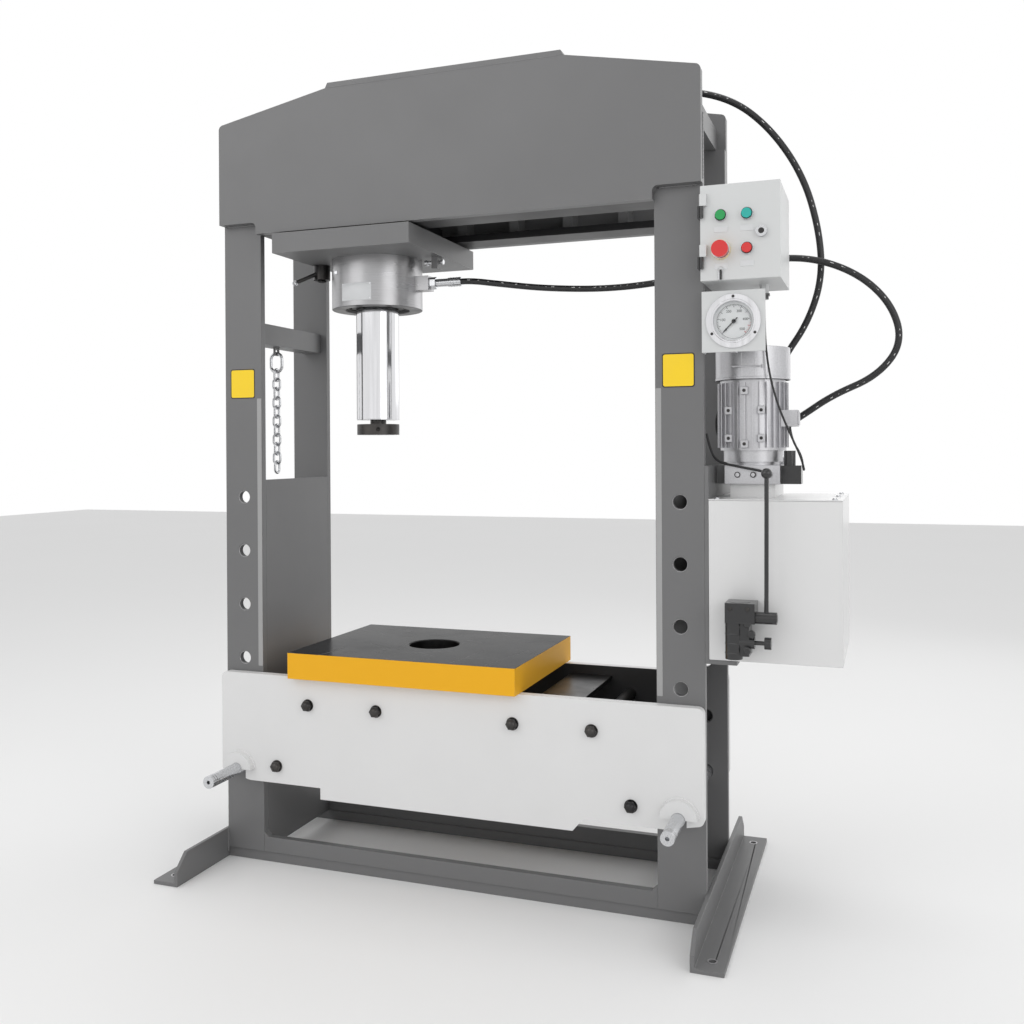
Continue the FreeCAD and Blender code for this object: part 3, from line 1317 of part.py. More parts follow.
# ---------------------------------------------------------------------------
# Check and write
# ---------------------------------------------------------------------------
doc.recompute()
for obj in doc.Objects:
    if "Invalid" in obj.State or "Error" in obj.State:
        raise RuntimeError(f"{obj.Label} did not recompute: {obj.State}")
for obj in SUBPARTS:
    shape = obj.Shape
    if shape.isNull() or not shape.isValid() or not shape.Solids:
        raise RuntimeError(f"{obj.Label} has no valid solid")

os.makedirs("parts", exist_ok=True)
for obj in SUBPARTS:
    obj.Shape.exportStep(os.path.join("parts", obj.Label + ".step"))
    span = obj.Shape.BoundBox
    print(f"{obj.Label}: {len(obj.Shape.Solids)} solid(s), {obj.Shape.Volume / 1000.0:.0f} cm3, "
          f"x {span.XMin:.0f}..{span.XMax:.0f}, y {span.YMin:.0f}..{span.YMax:.0f}, "
          f"z {span.ZMin:.0f}..{span.ZMax:.0f}")
print(f"{len(SUBPARTS)} sub-parts written")
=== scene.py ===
"""Finishes, fine parts, hoses, lights and camera for a motor-driven H-frame press.

The solid model carries every plate, shaft and housing. This file gives each of
them its finish, replaces the hoses by smooth ones, and adds the fine parts that
belong to the looks: weld beads, washers, labels, dial, key, pipes and seams.
All lengths are metres, in the frame of the solid model.
"""

from __future__ import annotations

import logging
import math
from dataclasses import dataclass, field
from enum import Enum

import bpy
import numpy as np
from mathutils import Matrix, Vector

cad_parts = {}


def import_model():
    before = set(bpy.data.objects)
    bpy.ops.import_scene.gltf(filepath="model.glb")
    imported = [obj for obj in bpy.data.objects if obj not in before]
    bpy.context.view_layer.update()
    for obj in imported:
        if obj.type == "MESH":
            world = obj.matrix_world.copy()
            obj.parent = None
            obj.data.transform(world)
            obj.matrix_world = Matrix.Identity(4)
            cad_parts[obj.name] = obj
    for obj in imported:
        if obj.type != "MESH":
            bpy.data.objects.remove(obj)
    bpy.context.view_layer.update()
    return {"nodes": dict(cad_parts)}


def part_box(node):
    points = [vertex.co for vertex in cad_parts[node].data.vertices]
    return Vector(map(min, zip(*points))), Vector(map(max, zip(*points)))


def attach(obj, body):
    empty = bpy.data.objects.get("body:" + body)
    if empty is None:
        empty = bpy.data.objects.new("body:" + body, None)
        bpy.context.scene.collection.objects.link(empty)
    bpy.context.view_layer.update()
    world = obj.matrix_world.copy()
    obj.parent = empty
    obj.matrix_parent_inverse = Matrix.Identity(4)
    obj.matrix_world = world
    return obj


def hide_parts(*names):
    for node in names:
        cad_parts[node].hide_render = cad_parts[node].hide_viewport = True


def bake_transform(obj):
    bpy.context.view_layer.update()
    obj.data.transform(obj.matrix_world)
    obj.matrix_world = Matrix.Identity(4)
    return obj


log = logging.getLogger("press")

Colour = tuple[float, float, float]
Point = tuple[float, float, float]


class Facing(Enum):
    """The way that a piece's own third axis points."""

    FRONT = "front"
    BACK = "back"
    UP = "up"
    DOWN = "down"
    RIGHT = "right"
    LEFT = "left"


FACING_AXES = {
    Facing.FRONT: ((1, 0, 0), (0, 0, 1), (0, -1, 0)),
    Facing.BACK: ((-1, 0, 0), (0, 0, 1), (0, 1, 0)),
    Facing.UP: ((1, 0, 0), (0, 1, 0), (0, 0, 1)),
    Facing.DOWN: ((1, 0, 0), (0, -1, 0), (0, 0, -1)),
    Facing.RIGHT: ((0, 1, 0), (0, 0, 1), (1, 0, 0)),
    Facing.LEFT: ((0, -1, 0), (0, 0, 1), (-1, 0, 0)),
}


# ---------------------------------------------------------------------------
# Node helpers and shared shader groups
# ---------------------------------------------------------------------------
class Graph:
    """Adds and joins nodes in one node tree."""

    def __init__(self, tree: bpy.types.NodeTree) -> None:
        """Keep the tree.

        Args:
            tree: the node tree to fill.
        """
        self.tree = tree

    def add(self, kind: str, **settings: object) -> bpy.types.Node:
        """Add a node and set its properties and unlinked inputs.

        Args:
            kind: the node's type name without its ShaderNode prefix.
            **settings: properties by name, or inputs as in_NAME with _ for a space.

        Returns:
            The new node.
        """
        node = self.tree.nodes.new("ShaderNode" + kind)
        for name, value in settings.items():
            if name.startswith("in_"):
                node.inputs[name[3:].replace("_", " ")].default_value = value
            else:
                setattr(node, name, value)
        return node

    def join(self, source: bpy.types.NodeSocket, target: bpy.types.NodeSocket) -> None:
        """Link an output to an input."""
        self.tree.links.new(source, target)

    def mix(self, mask: bpy.types.NodeSocket, first: object, second: object) -> bpy.types.NodeSocket:
        """Mix two colours by a mask.

        Args:
            mask: the output that drives the mix.
            first: a colour or an output, shown where the mask is 0.
            second: a colour or an output, shown where the mask is 1.

        Returns:
            The mixed colour output.
        """
        node = self.add("Mix", data_type="RGBA")
        self.join(mask, node.inputs[0])
        for socket, value in ((node.inputs[6], first), (node.inputs[7], second)):
            if isinstance(value, bpy.types.NodeSocket):
                self.join(value, socket)
            else:
                socket.default_value = (*value, 1.0)
        return node.outputs[2]

    def math(self, operation: str, first: object, second: object = 0.5) -> bpy.types.NodeSocket:
        """Combine two values.

        Args:
            operation: the Math node's operation.
            first: a number or an output.
            second: a number or an output.

        Returns:
            The result output.
        """
        node = self.add("Math", operation=operation)
        for socket, value in zip(node.inputs, (first, second)):
            if isinstance(value, bpy.types.NodeSocket):
                self.join(value, socket)
            else:
                socket.default_value = value
        return node.outputs[0]

    def ramp(self, value: bpy.types.NodeSocket, low: float, high: float,
             to_low: float = 0.0, to_high: float = 1.0) -> bpy.types.NodeSocket:
        """Map a value from one range to another, clamped."""
        node = self.add("MapRange", clamp=True)
        self.join(value, node.inputs[0])
        for index, number in enumerate((low, high, to_low, to_high), start=1):
            node.inputs[index].default_value = number
        return node.outputs[0]

    def noise(self, vector: bpy.types.NodeSocket, scale: float, detail: float = 4.0) -> bpy.types.NodeSocket:
        """Fractal noise of the given scale over a coordinate output."""
        node = self.add("TexNoise", in_Scale=scale, in_Detail=detail)
        self.join(vector, node.inputs["Vector"])
        return node.outputs[0]

    def stretched(self, vector: bpy.types.NodeSocket, scale: Point) -> bpy.types.NodeSocket:
        """Coordinates multiplied by a scale for each axis."""
        node = self.add("Mapping")
        node.inputs["Scale"].default_value = scale
        self.join(vector, node.inputs["Vector"])
        return node.outputs[0]


def shader_group(
    name: str, inputs: dict[str, float], outputs: tuple[str, ...],
) -> tuple[bpy.types.NodeTree, Graph, bpy.types.Node, bpy.types.Node]:
    """Make an empty shader node group with named sockets.

    Args:
        name: the group's name.
        inputs: each value input's name and default.
        outputs: each value output's name.

    Returns:
        The group, its graph, its input node and its output node.
    """
    group = bpy.data.node_groups.new(name, "ShaderNodeTree")
    group.interface.new_socket("Vector", in_out="INPUT", socket_type="NodeSocketVector")
    for label, default in inputs.items():
        socket = group.interface.new_socket(label, in_out="INPUT", socket_type="NodeSocketFloat")
        socket.default_value = default
    for label in outputs:
        group.interface.new_socket(label, in_out="OUTPUT", socket_type="NodeSocketFloat")
    graph = Graph(group)
    return group, graph, group.nodes.new("NodeGroupInput"), group.nodes.new("NodeGroupOutput")


class Groups:
    """The shader groups that several finishes use, each built once."""

    def __init__(self) -> None:
        """Build every group."""
        self.edge_wear = self._edge_wear()
        self.grime = self._grime()
        self.grain = self._grain()
        self.scratches = self._scratches()

    @staticmethod
    def _edge_wear() -> bpy.types.NodeTree:
        """Mask that is 1 on worn convex edges, broken up by noise."""
        group, graph, source, sink = shader_group("EdgeWear", {"Amount": 0.5, "Scale": 30.0}, ("Mask",))
        bevel = graph.add("Bevel", samples=4)
        bevel.inputs["Radius"].default_value = 0.0022
        plain = graph.add("NewGeometry")
        dot = graph.add("VectorMath", operation="DOT_PRODUCT")
        graph.join(bevel.outputs[0], dot.inputs[0])
        graph.join(plain.outputs["Normal"], dot.inputs[1])
        edge = graph.ramp(dot.outputs["Value"], 0.995, 0.86)
        noise = graph.add("TexNoise", in_Detail=5.0)
        graph.join(source.outputs["Vector"], noise.inputs["Vector"])
        graph.join(source.outputs["Scale"], noise.inputs["Scale"])
        broken = graph.ramp(noise.outputs[0], 0.42, 0.62)
        worn = graph.math("MULTIPLY", edge, broken)
        graph.join(graph.math("MULTIPLY", worn, source.outputs["Amount"]), sink.inputs["Mask"])
        return group

    @staticmethod
    def _grime() -> bpy.types.NodeTree:
        """Soft cloudy mask for dust and rubbed oil."""
        group, graph, source, sink = shader_group("Grime", {"Amount": 0.5, "Scale": 4.0}, ("Mask",))
        broad = graph.add("TexNoise", in_Detail=6.0, in_Roughness=0.62)
        graph.join(source.outputs["Vector"], broad.inputs["Vector"])
        graph.join(source.outputs["Scale"], broad.inputs["Scale"])
        cloud = graph.ramp(broad.outputs[0], 0.38, 0.72)
        graph.join(graph.math("MULTIPLY", cloud, source.outputs["Amount"]), sink.inputs["Mask"])
        return group

    @staticmethod
    def _grain() -> bpy.types.NodeTree:
        """Height of fine sprayed paint or moulded grain."""
        group, graph, source, sink = shader_group("Grain", {"Scale": 400.0}, ("Height",))
        fine = graph.add("TexNoise", in_Detail=2.0)
        graph.join(source.outputs["Vector"], fine.inputs["Vector"])
        graph.join(source.outputs["Scale"], fine.inputs["Scale"])
        graph.join(fine.outputs[0], sink.inputs["Height"])
        return group

    @staticmethod
    def _scratches() -> bpy.types.NodeTree:
        """Mask of thin crossing scratches: bent bands of a wave, kept where noise allows."""
        group, graph, source, sink = shader_group("Scratches", {"Scale": 6.0, "Amount": 0.5}, ("Mask",))
        total = None
        for turn in (0.3, 1.25, 2.1):
            turned = graph.add("Mapping")
            turned.inputs["Rotation"].default_value = (0.0, 0.0, turn)
            graph.join(source.outputs["Vector"], turned.inputs["Vector"])
            wave = graph.add("TexWave", in_Distortion=9.0, in_Detail=2.0)
            wave.inputs["Detail Scale"].default_value = 0.4
            graph.join(turned.outputs[0], wave.inputs["Vector"])
            graph.join(source.outputs["Scale"], wave.inputs["Scale"])
            line = graph.ramp(wave.outputs["Fac"], 0.992, 1.0)
            where = graph.noise(turned.outputs[0], 9.0, 3.0)
            kept = graph.math("MULTIPLY", line, graph.ramp(where, 0.5, 0.62))
            total = kept if total is None else graph.math("MAXIMUM", total, kept)
        graph.join(graph.math("MULTIPLY", total, source.outputs["Amount"]), sink.inputs["Mask"])
        return group


def use_group(graph: Graph, group: bpy.types.NodeTree, vector: bpy.types.NodeSocket,
              **values: float) -> bpy.types.NodeSocket:
    """Place a shared group in a material.

    Args:
        graph: the material's graph.
        group: the shared group.
        vector: the coordinates that it reads.
        **values: its inputs by name.

    Returns:
        The group's only output.
    """
    node = graph.tree.nodes.new("ShaderNodeGroup")
    node.node_tree = group
    graph.join(vector, node.inputs["Vector"])
    for name, value in values.items():
        node.inputs[name].default_value = value
    return node.outputs[0]


def new_material(name: str) -> tuple[bpy.types.Material, Graph, bpy.types.Node, bpy.types.NodeSocket]:
    """Start a material with its Principled shader and Object coordinates.

    Args:
        name: the material's name.

    Returns:
        The material, its graph, its Principled node and the Object coordinate output.
    """
    material = bpy.data.materials.new(name)
    material.use_nodes = True
    tree = material.node_tree
    tree.nodes.clear()
    graph = Graph(tree)
    shader = graph.add("BsdfPrincipled")
    output = graph.add("OutputMaterial")
    graph.join(shader.outputs[0], output.inputs["Surface"])
    return material, graph, shader, graph.add("TexCoord").outputs["Object"]


def add_bump(graph: Graph, shader: bpy.types.Node, height: bpy.types.NodeSocket, depth: float,
             strength: float) -> None:
    """Feed a height into the shader's normal.

    Args:
        graph: the material's graph.
        shader: its Principled node.
        height: the height output, 0 to 1.
        depth: the height's full depth in metres.
        strength: the bump's strength.
    """
    bump = graph.add("Bump")
    bump.inputs["Strength"].default_value = strength
    bump.inputs["Distance"].default_value = depth
    graph.join(height, bump.inputs["Height"])
    graph.join(bump.outputs[0], shader.inputs["Normal"])


# ---------------------------------------------------------------------------
# Finishes
# ---------------------------------------------------------------------------
@dataclass(frozen=True)
class Paint:
    """Sprayed paint over steel, with grime and worn edges, and painted shade on inner faces if asked."""

    name: str
    colour: Colour
    roughness: float = 0.42
    coat: float = 0.0
    wear: float = 0.5
    grime: float = 0.35
    grain: float = 520.0
    under: Colour = (0.36, 0.35, 0.34)
    # Within this half depth of the middle plane, faces take the near-black inner colour: painted shade.
    inner_shade_half: float = 0.0
    inner: Colour = (0.022, 0.022, 0.023)

    def build(self, groups: Groups) -> bpy.types.Material:
        """Make the paint's material; within the set half depth of its middle plane it is nearly black, as
        painted shade.

        Args:
            groups: the shared shader groups.

        Returns:
            The material.
        """
        material, graph, shader, place = new_material(self.name)
        shader.inputs["Coat Weight"].default_value = self.coat
        shader.inputs["Coat Roughness"].default_value = 0.08
        dirty = tuple(channel * 0.86 for channel in self.colour)
        cloud = use_group(graph, groups.grime, place, Amount=self.grime, Scale=3.2)
        base = graph.mix(cloud, self.colour, dirty)
        worn = use_group(graph, groups.edge_wear, place, Amount=self.wear, Scale=34.0)
        coat = graph.mix(worn, base, self.under)
        # Painted shade: faces near the middle plane, inside the table, are made near black.
        if self.inner_shade_half:
            parts = graph.add("SeparateXYZ")
            graph.join(place, parts.inputs[0])
            depth = graph.math("ABSOLUTE", parts.outputs[1])
            coat = graph.mix(graph.ramp(depth, self.inner_shade_half + 0.0002, self.inner_shade_half), coat, self.inner)
        graph.join(coat, shader.inputs["Base Color"])
        graph.join(graph.ramp(cloud, 0.0, 0.6, self.roughness, self.roughness + 0.14),
                   shader.inputs["Roughness"])
        graph.join(graph.math("MULTIPLY", worn, 0.8), shader.inputs["Metallic"])
        add_bump(graph, shader, use_group(graph, groups.grain, place, Scale=self.grain), 0.0004, 0.10)
        return material


@dataclass(frozen=True)
class Metal:
    """Bare, plated or polished metal with fine machining marks."""

    name: str
    colour: Colour
    roughness: float = 0.28
    streaks: Point = (18.0, 18.0, 700.0)
    marks: float = 0.5
    tarnish: float = 0.3
    tarnish_colour: Colour = (0.30, 0.27, 0.24)

    def build(self, groups: Groups) -> bpy.types.Material:
        """Make the metal's material.

        Args:
            groups: the shared shader groups.

        Returns:
            The material.
        """
        material, graph, shader, place = new_material(self.name)
        shader.inputs["Metallic"].default_value = 1.0
        lines = graph.noise(graph.stretched(place, self.streaks), 1.0, 3.0)
        stain = use_group(graph, groups.grime, place, Amount=self.tarnish, Scale=9.0)
        shade = graph.mix(graph.ramp(lines, 0.3, 0.7), tuple(c * 0.86 for c in self.colour), self.colour)
        graph.join(graph.mix(stain, shade, self.tarnish_colour), shader.inputs["Base Color"])
        rough = graph.math("ADD", graph.ramp(lines, 0.25, 0.75, self.roughness * 0.8, self.roughness * 1.25),
                           graph.math("MULTIPLY", stain, 0.25))
        graph.join(rough, shader.inputs["Roughness"])
        add_bump(graph, shader, lines, 0.0002, self.marks * 0.25)
        return material


@dataclass(frozen=True)
class Moulded:
    """Moulded plastic or rubber with a fine grain."""

    name: str
    colour: Colour
    roughness: float = 0.3
    coat: float = 0.2
    grain: float = 900.0
    bump: float = 0.08
    dust: float = 0.15

    def build(self, groups: Groups) -> bpy.types.Material:
        """Make the moulding's material.

        Args:
            groups: the shared shader groups.

        Returns:
            The material.
        """
        material, graph, shader, place = new_material(self.name)
        shader.inputs["Coat Weight"].default_value = self.coat
        shader.inputs["Coat Roughness"].default_value = 0.12
        cloud = use_group(graph, groups.grime, place, Amount=self.dust, Scale=14.0)
        pale = tuple(channel * 0.8 + 0.05 for channel in self.colour)
        graph.join(graph.mix(cloud, self.colour, pale), shader.inputs["Base Color"])
        graph.join(graph.ramp(cloud, 0.0, 0.5, self.roughness, self.roughness + 0.2),
                   shader.inputs["Roughness"])
        add_bump(graph, shader, use_group(graph, groups.grain, place, Scale=self.grain), 0.0003, self.bump)
        return material


@dataclass(frozen=True)
class Glass:
    """Clear gauge glass with faint smears."""

    name: str

    def build(self, groups: Groups) -> bpy.types.Material:
        """Make the glass material.

        Args:
            groups: the shared shader groups.

        Returns:
            The material.
        """
        material, graph, shader, place = new_material(self.name)
        shader.inputs["Transmission Weight"].default_value = 1.0
        shader.inputs["IOR"].default_value = 1.15
        shader.inputs["Base Color"].default_value = (0.98, 0.99, 1.0, 1.0)
        smear = use_group(graph, groups.grime, place, Amount=0.08, Scale=40.0)
        graph.join(smear, shader.inputs["Roughness"])
        return material


@dataclass(frozen=True)
class MilledPlate:
    """Amber painted sides under a dark, glossy, scratched milled top; the sides near the round hole are
    darkened as painted shade.
    """

    name: str
    colour: Colour = (0.80, 0.40, 0.004)
    top: Colour = (0.010, 0.010, 0.011)
    hole: Point = (-0.118, 0.0, 0.0)
    hole_radius: float = 0.078

    def build(self, groups: Groups) -> bpy.types.Material:
        """Make the plate's material; its top shows where the surface faces up.

        Args:
            groups: the shared shader groups.

        Returns:
            The material.
        """
        material, graph, shader, place = new_material(self.name)
        facing = graph.add("SeparateXYZ")
        graph.join(graph.add("NewGeometry").outputs["Normal"], facing.inputs[0])
        upward = graph.ramp(facing.outputs[2], 0.85, 0.95)
        scratch = use_group(graph, groups.scratches, place, Scale=2.6, Amount=0.85)
        cloud = use_group(graph, groups.grime, place, Amount=0.7, Scale=5.0)
        worn = use_group(graph, groups.edge_wear, place, Amount=0.5, Scale=40.0)
        top = graph.mix(cloud, self.top, (0.035, 0.036, 0.038))
        top = graph.mix(scratch, top, (0.13, 0.13, 0.13))
        side = graph.mix(worn, self.colour, (0.25, 0.22, 0.2))
        # Painted shade: the wall of the round hole is made near black.
        side = graph.mix(self.hole_shade_mask(graph, place), side, (0.02, 0.02, 0.02))
        graph.join(graph.mix(upward, side, top), shader.inputs["Base Color"])
        rough_top = graph.math("ADD", graph.ramp(cloud, 0.0, 0.7, 0.10, 0.28),
                               graph.math("MULTIPLY", scratch, 0.3))
        rough = graph.add("Mix", data_type="FLOAT")
        graph.join(upward, rough.inputs[0])
        rough.inputs[2].default_value = 0.5
        graph.join(rough_top, rough.inputs[3])
        graph.join(rough.outputs[0], shader.inputs["Roughness"])
        gleam = graph.ramp(upward, 0.0, 1.0, 0.35, 0.02)
        graph.join(gleam, shader.inputs["Specular IOR Level"])
        lines = graph.noise(graph.stretched(place, (6.0, 500.0, 6.0)), 1.0, 2.0)
        height = graph.math("MULTIPLY", lines, upward)
        add_bump(graph, shader, height, 0.0003, 0.22)
        return material

    def hole_shade_mask(self, graph: Graph, place: bpy.types.NodeSocket) -> bpy.types.NodeSocket:
        """A mask that is 1 close to the plate's round hole, where painted shade darkens the hole's wall.

        Args:
            graph: the material's nodes.
            place: the piece's own coordinates.

        Returns:
            The mask.
        """
        parts = graph.add("SeparateXYZ")
        graph.join(place, parts.inputs[0])
        over = graph.math("SUBTRACT", parts.outputs[0], self.hole[0])
        back = graph.math("SUBTRACT", parts.outputs[1], self.hole[1])
        reach = graph.math("ADD", graph.math("MULTIPLY", over, over), graph.math("MULTIPLY", back, back))
        return graph.ramp(reach, self.hole_radius ** 2, (self.hole_radius * 0.97) ** 2)


@dataclass(frozen=True)
class HoseRubber:
    """Black hose cover with a thin broken white lay line along it."""

    name: str
    line: float = 0.016
    dash: float = 70.0

    def build(self, groups: Groups) -> bpy.types.Material:
        """Make the hose's material; it reads the hose's own UV map.

        Args:
            groups: the shared shader groups.

        Returns:
            The material.
        """
        material, graph, shader, place = new_material(self.name)
        parts = graph.add("SeparateXYZ")
        graph.join(graph.add("UVMap").outputs[0], parts.inputs[0])
        off = graph.math("ABSOLUTE", graph.math("SUBTRACT", parts.outputs[1], 0.80))
        band = graph.ramp(off, self.line, self.line * 0.6)
        steps = graph.add("CombineXYZ")
        graph.join(graph.math("MULTIPLY", parts.outputs[0], self.dash), steps.inputs[0])
        broken = graph.ramp(graph.noise(steps.outputs[0], 1.0, 1.0), 0.56, 0.60)
        line = graph.math("MULTIPLY", band, broken)
        cloud = use_group(graph, groups.grime, place, Amount=0.4, Scale=12.0)
        cover = graph.mix(cloud, (0.012, 0.012, 0.013), (0.03, 0.03, 0.032))
        graph.join(graph.mix(line, cover, (0.75, 0.75, 0.74)), shader.inputs["Base Color"])
        graph.join(graph.ramp(cloud, 0.0, 0.4, 0.36, 0.5), shader.inputs["Roughness"])
        wrap = graph.add("CombineXYZ")
        graph.join(graph.math("MULTIPLY", parts.outputs[0], 1.0), wrap.inputs[0])
        graph.join(graph.math("MULTIPLY", parts.outputs[1], 0.02), wrap.inputs[1])
        add_bump(graph, shader, graph.noise(wrap.outputs[0], 900.0, 1.0), 0.0004, 0.2)
        return material


@dataclass(frozen=True)
class DialFace:
    """White dial card; its marks are pieces of their own."""

    name: str

    def build(self, groups: Groups) -> bpy.types.Material:
        """Make the card's material.

        Args:
            groups: the shared shader groups.

        Returns:
            The material.
        """
        material, graph, shader, place = new_material(self.name)
        shader.inputs["Roughness"].default_value = 0.45
        cloud = use_group(graph, groups.grime, place, Amount=0.25, Scale=30.0)
        graph.join(graph.mix(cloud, (0.86, 0.86, 0.85), (0.74, 0.74, 0.72)), shader.inputs["Base Color"])
        return material


FINISHES = {
    "frame": Paint("frame_grey", (0.150, 0.150, 0.152), roughness=0.40, wear=0.35, grime=0.30),
    # Near black for the carriage rails and slide block: painted shade inside the head.
    "frame_shade_black": Paint("painted_shade_black", (0.010, 0.010, 0.011), roughness=0.36, wear=0.4, grime=0.5),
    # Lighter grey for the strips on the pillars' inner edges: painted highlight.
    "strip": Paint("edge_highlight_grey", (0.34, 0.34, 0.34), roughness=0.35, wear=0.8, grime=0.5),
    # The table's faces between its two plates are painted near black: painted shade inside the table.
    "table": Paint("table_light_grey", (0.70, 0.70, 0.70), roughness=0.38, wear=0.25, grime=0.25,
                   under=(0.35, 0.35, 0.34), inner_shade_half=0.1905),
    "tank": Paint("tank_white", (0.68, 0.68, 0.68), roughness=0.30, coat=0.3, wear=0.10, grime=0.15),
    "box": Paint("box_texture_grey", (0.60, 0.61, 0.61), roughness=0.45, wear=0.10, grime=0.15, grain=900.0),
    "plate": MilledPlate("milled_plate"),
    "barrel": Metal("barrel_satin", (0.44, 0.44, 0.45), roughness=0.30, streaks=(8.0, 8.0, 520.0),
                    tarnish=0.15),
    "steel": Metal("bare_steel", (0.56, 0.56, 0.57), roughness=0.30),
    "zinc": Metal("zinc_plate", (0.70, 0.71, 0.73), roughness=0.24, streaks=(300.0, 300.0, 300.0),
                  tarnish=0.2),
    "chrome": Metal("hard_chrome", (0.80, 0.80, 0.82), roughness=0.09, streaks=(90.0, 90.0, 3.0), marks=0.10,
                    tarnish=0.05),
    "alloy": Metal("cast_alloy", (0.62, 0.62, 0.64), roughness=0.38, streaks=(260.0, 260.0, 260.0), marks=1.2,
                   tarnish=0.15),
    "black_steel": Metal("black_oxide", (0.045, 0.045, 0.047), roughness=0.32, tarnish=0.2),
    "cast": Paint("black_casting", (0.018, 0.018, 0.019), roughness=0.25, coat=0.35, wear=0.35, grime=0.4,
                  grain=260.0, under=(0.2, 0.2, 0.2)),
    "black": Moulded("gloss_black", (0.012, 0.012, 0.013), roughness=0.22, coat=0.4),
    "rubber": Moulded("cable_rubber", (0.015, 0.015, 0.016), roughness=0.5, coat=0.0, bump=0.2),
    "green": Moulded("green_cap", (0.0, 0.30, 0.065), roughness=0.18, coat=0.5),
    "teal": Moulded("teal_cap", (0.0, 0.38, 0.33), roughness=0.18, coat=0.5),
    "red": Moulded("red_cap", (0.62, 0.012, 0.012), roughness=0.18, coat=0.5),
    "yellow": Moulded("yellow_base", (0.86, 0.56, 0.01), roughness=0.28),
    "decal": Moulded("plain_yellow_field", (0.88, 0.60, 0.0), roughness=0.34, coat=0.2, bump=0.02),
    "label": Moulded("plain_label", (0.62, 0.63, 0.64), roughness=0.35, bump=0.02),
    "ink": Moulded("dial_ink", (0.012, 0.012, 0.013), roughness=0.5, coat=0.0),
    "red_ink": Moulded("dial_red", (0.55, 0.02, 0.02), roughness=0.5, coat=0.0),
    "glass": Glass("gauge_glass_clear"),
    "dial": DialFace("dial_card"),
    "hose": HoseRubber("hose_cover"),
}


class Paintbox:
    """Builds each finish once and puts it on pieces."""

    def __init__(self) -> None:
        """Build every material."""
        groups = Groups()
        self.materials = {key: finish.build(groups) for key, finish in FINISHES.items()}

    def dress(self, piece: bpy.types.Object, key: str) -> None:
        """Give a whole piece one finish."""
        piece.data.materials.clear()
        piece.data.materials.append(self.materials[key])


# ---------------------------------------------------------------------------
# Surfaces
# ---------------------------------------------------------------------------
def mesh_piece(name: str, points: np.ndarray, faces: list[tuple[int, ...]],
               smooth_angle: float = 35.0) -> bpy.types.Object:
    """Make an object from points and faces, smooth but for its sharp edges.

    Args:
        name: the piece's name.
        points: an n by 3 array in metres.
        faces: corner indices of each face, in outward order.
        smooth_angle: edges bent by more than this many degrees stay sharp.

    Returns:
        The new object, at the origin.
    """
    mesh = bpy.data.meshes.new(name)
    mesh.from_pydata(points.tolist(), [], faces)
    mesh.validate()
    mesh.polygons.foreach_set("use_smooth", np.ones(len(mesh.polygons), dtype=bool))
    mesh.set_sharp_from_angle(angle=math.radians(smooth_angle))
    piece = bpy.data.objects.new(name, mesh)
    bpy.context.scene.collection.objects.link(piece)
    return piece


def grid_faces(rows: int, columns: int, wrap: bool) -> list[tuple[int, ...]]:
    """Quads between the rows of a grid; wrap joins the last column to the first."""
    index = np.arange(rows * columns).reshape(rows, columns)
    ahead = np.roll(index, -1, axis=1)
    if not wrap:
        index, ahead = index[:, :-1], ahead[:, :-1]
    quads = np.stack([index[:-1], ahead[:-1], ahead[1:], index[1:]], axis=-1).reshape(-1, 4)
    return [tuple(quad) for quad in quads.tolist()]


def stand(local: np.ndarray, centre: Point, facing: Facing) -> np.ndarray:
    """Turn local points so that their third axis points as facing says, at centre."""
    axes = np.array(FACING_AXES[facing], float)
    return local @ axes + np.array(centre, float)


def turned(name: str, profile: list[tuple[float, float]], centre: Point, facing: Facing, steps: int = 48,
           swell: float = 0.0, lobes: int = 0) -> bpy.types.Object:
    """A turned piece: its profile of (radius, height) carried round its axis.

    The radius may swell by a cosine of the angle, for a knurled or fluted edge.

    Args:
        name: the piece's name.
        profile: radii and heights from its back centre to its front centre.
        centre: the point of height 0 on its axis.
        facing: the way that its heights grow.
        steps: the points round the axis.
        swell: the height of its flutes, as a share of the radius.
        lobes: the number of flutes.

    Returns:
        The new object.
    """
    rings = np.array(profile, float)
    angle = np.linspace(0.0, 2.0 * np.pi, steps, endpoint=False)
    radius = rings[:, :1] * (1.0 + swell * np.cos(lobes * angle)[None, :])
    local = np.stack([radius * np.cos(angle), radius * np.sin(angle),
                      np.repeat(rings[:, 1:], steps, axis=1)], axis=-1).reshape(-1, 3)
    faces = grid_faces(len(profile), steps, True)
    faces.append(tuple(range(steps))[::-1])
    last = (len(profile) - 1) * steps
    faces.append(tuple(range(last, last + steps)))
    return mesh_piece(name, stand(local, centre, facing), faces)


def ring_piece(name: str, inner: float, outer: float, height: float, edge: float, centre: Point,
               facing: Facing,
               steps: int = 48) -> bpy.types.Object:
    """A closed ring: a rounded rectangle section carried round an axis.

    Args:
        name: the piece's name.
        inner: the inner radius.
        outer: the outer radius.
        height: its height along the axis.
        edge: the bevel of its section.
        centre: the centre of its low face.
        facing: the way that its height grows.
        steps: the points round the axis.

    Returns:
        The new object.
    """
    section = np.array([
        (inner, edge), (inner + edge, 0.0), (outer - edge, 0.0), (outer, edge),
        (outer, height - edge), (outer - edge, height), (inner + edge, height), (inner, height - edge),
    ])
    angle = np.linspace(0.0, 2.0 * np.pi, steps, endpoint=False)
    radius = section[:, 0][None, :] + np.zeros((steps, 1))
    local = np.stack([radius * np.cos(angle)[:, None], radius * np.sin(angle)[:, None],
                      section[:, 1][None, :] + np.zeros((steps, 1))], axis=-1)
    count = len(section)
    index = np.arange(steps * count).reshape(steps, count)
    around = np.roll(index, -1, axis=0)
    beside = np.roll(index, -1, axis=1)
    both = np.roll(around, -1, axis=1)
    quads = np.stack([index, around, both, beside], axis=-1).reshape(-1, 4)
    points = stand(local.reshape(-1, 3), centre, facing)
    return mesh_piece(name, points, [tuple(quad) for quad in quads.tolist()])


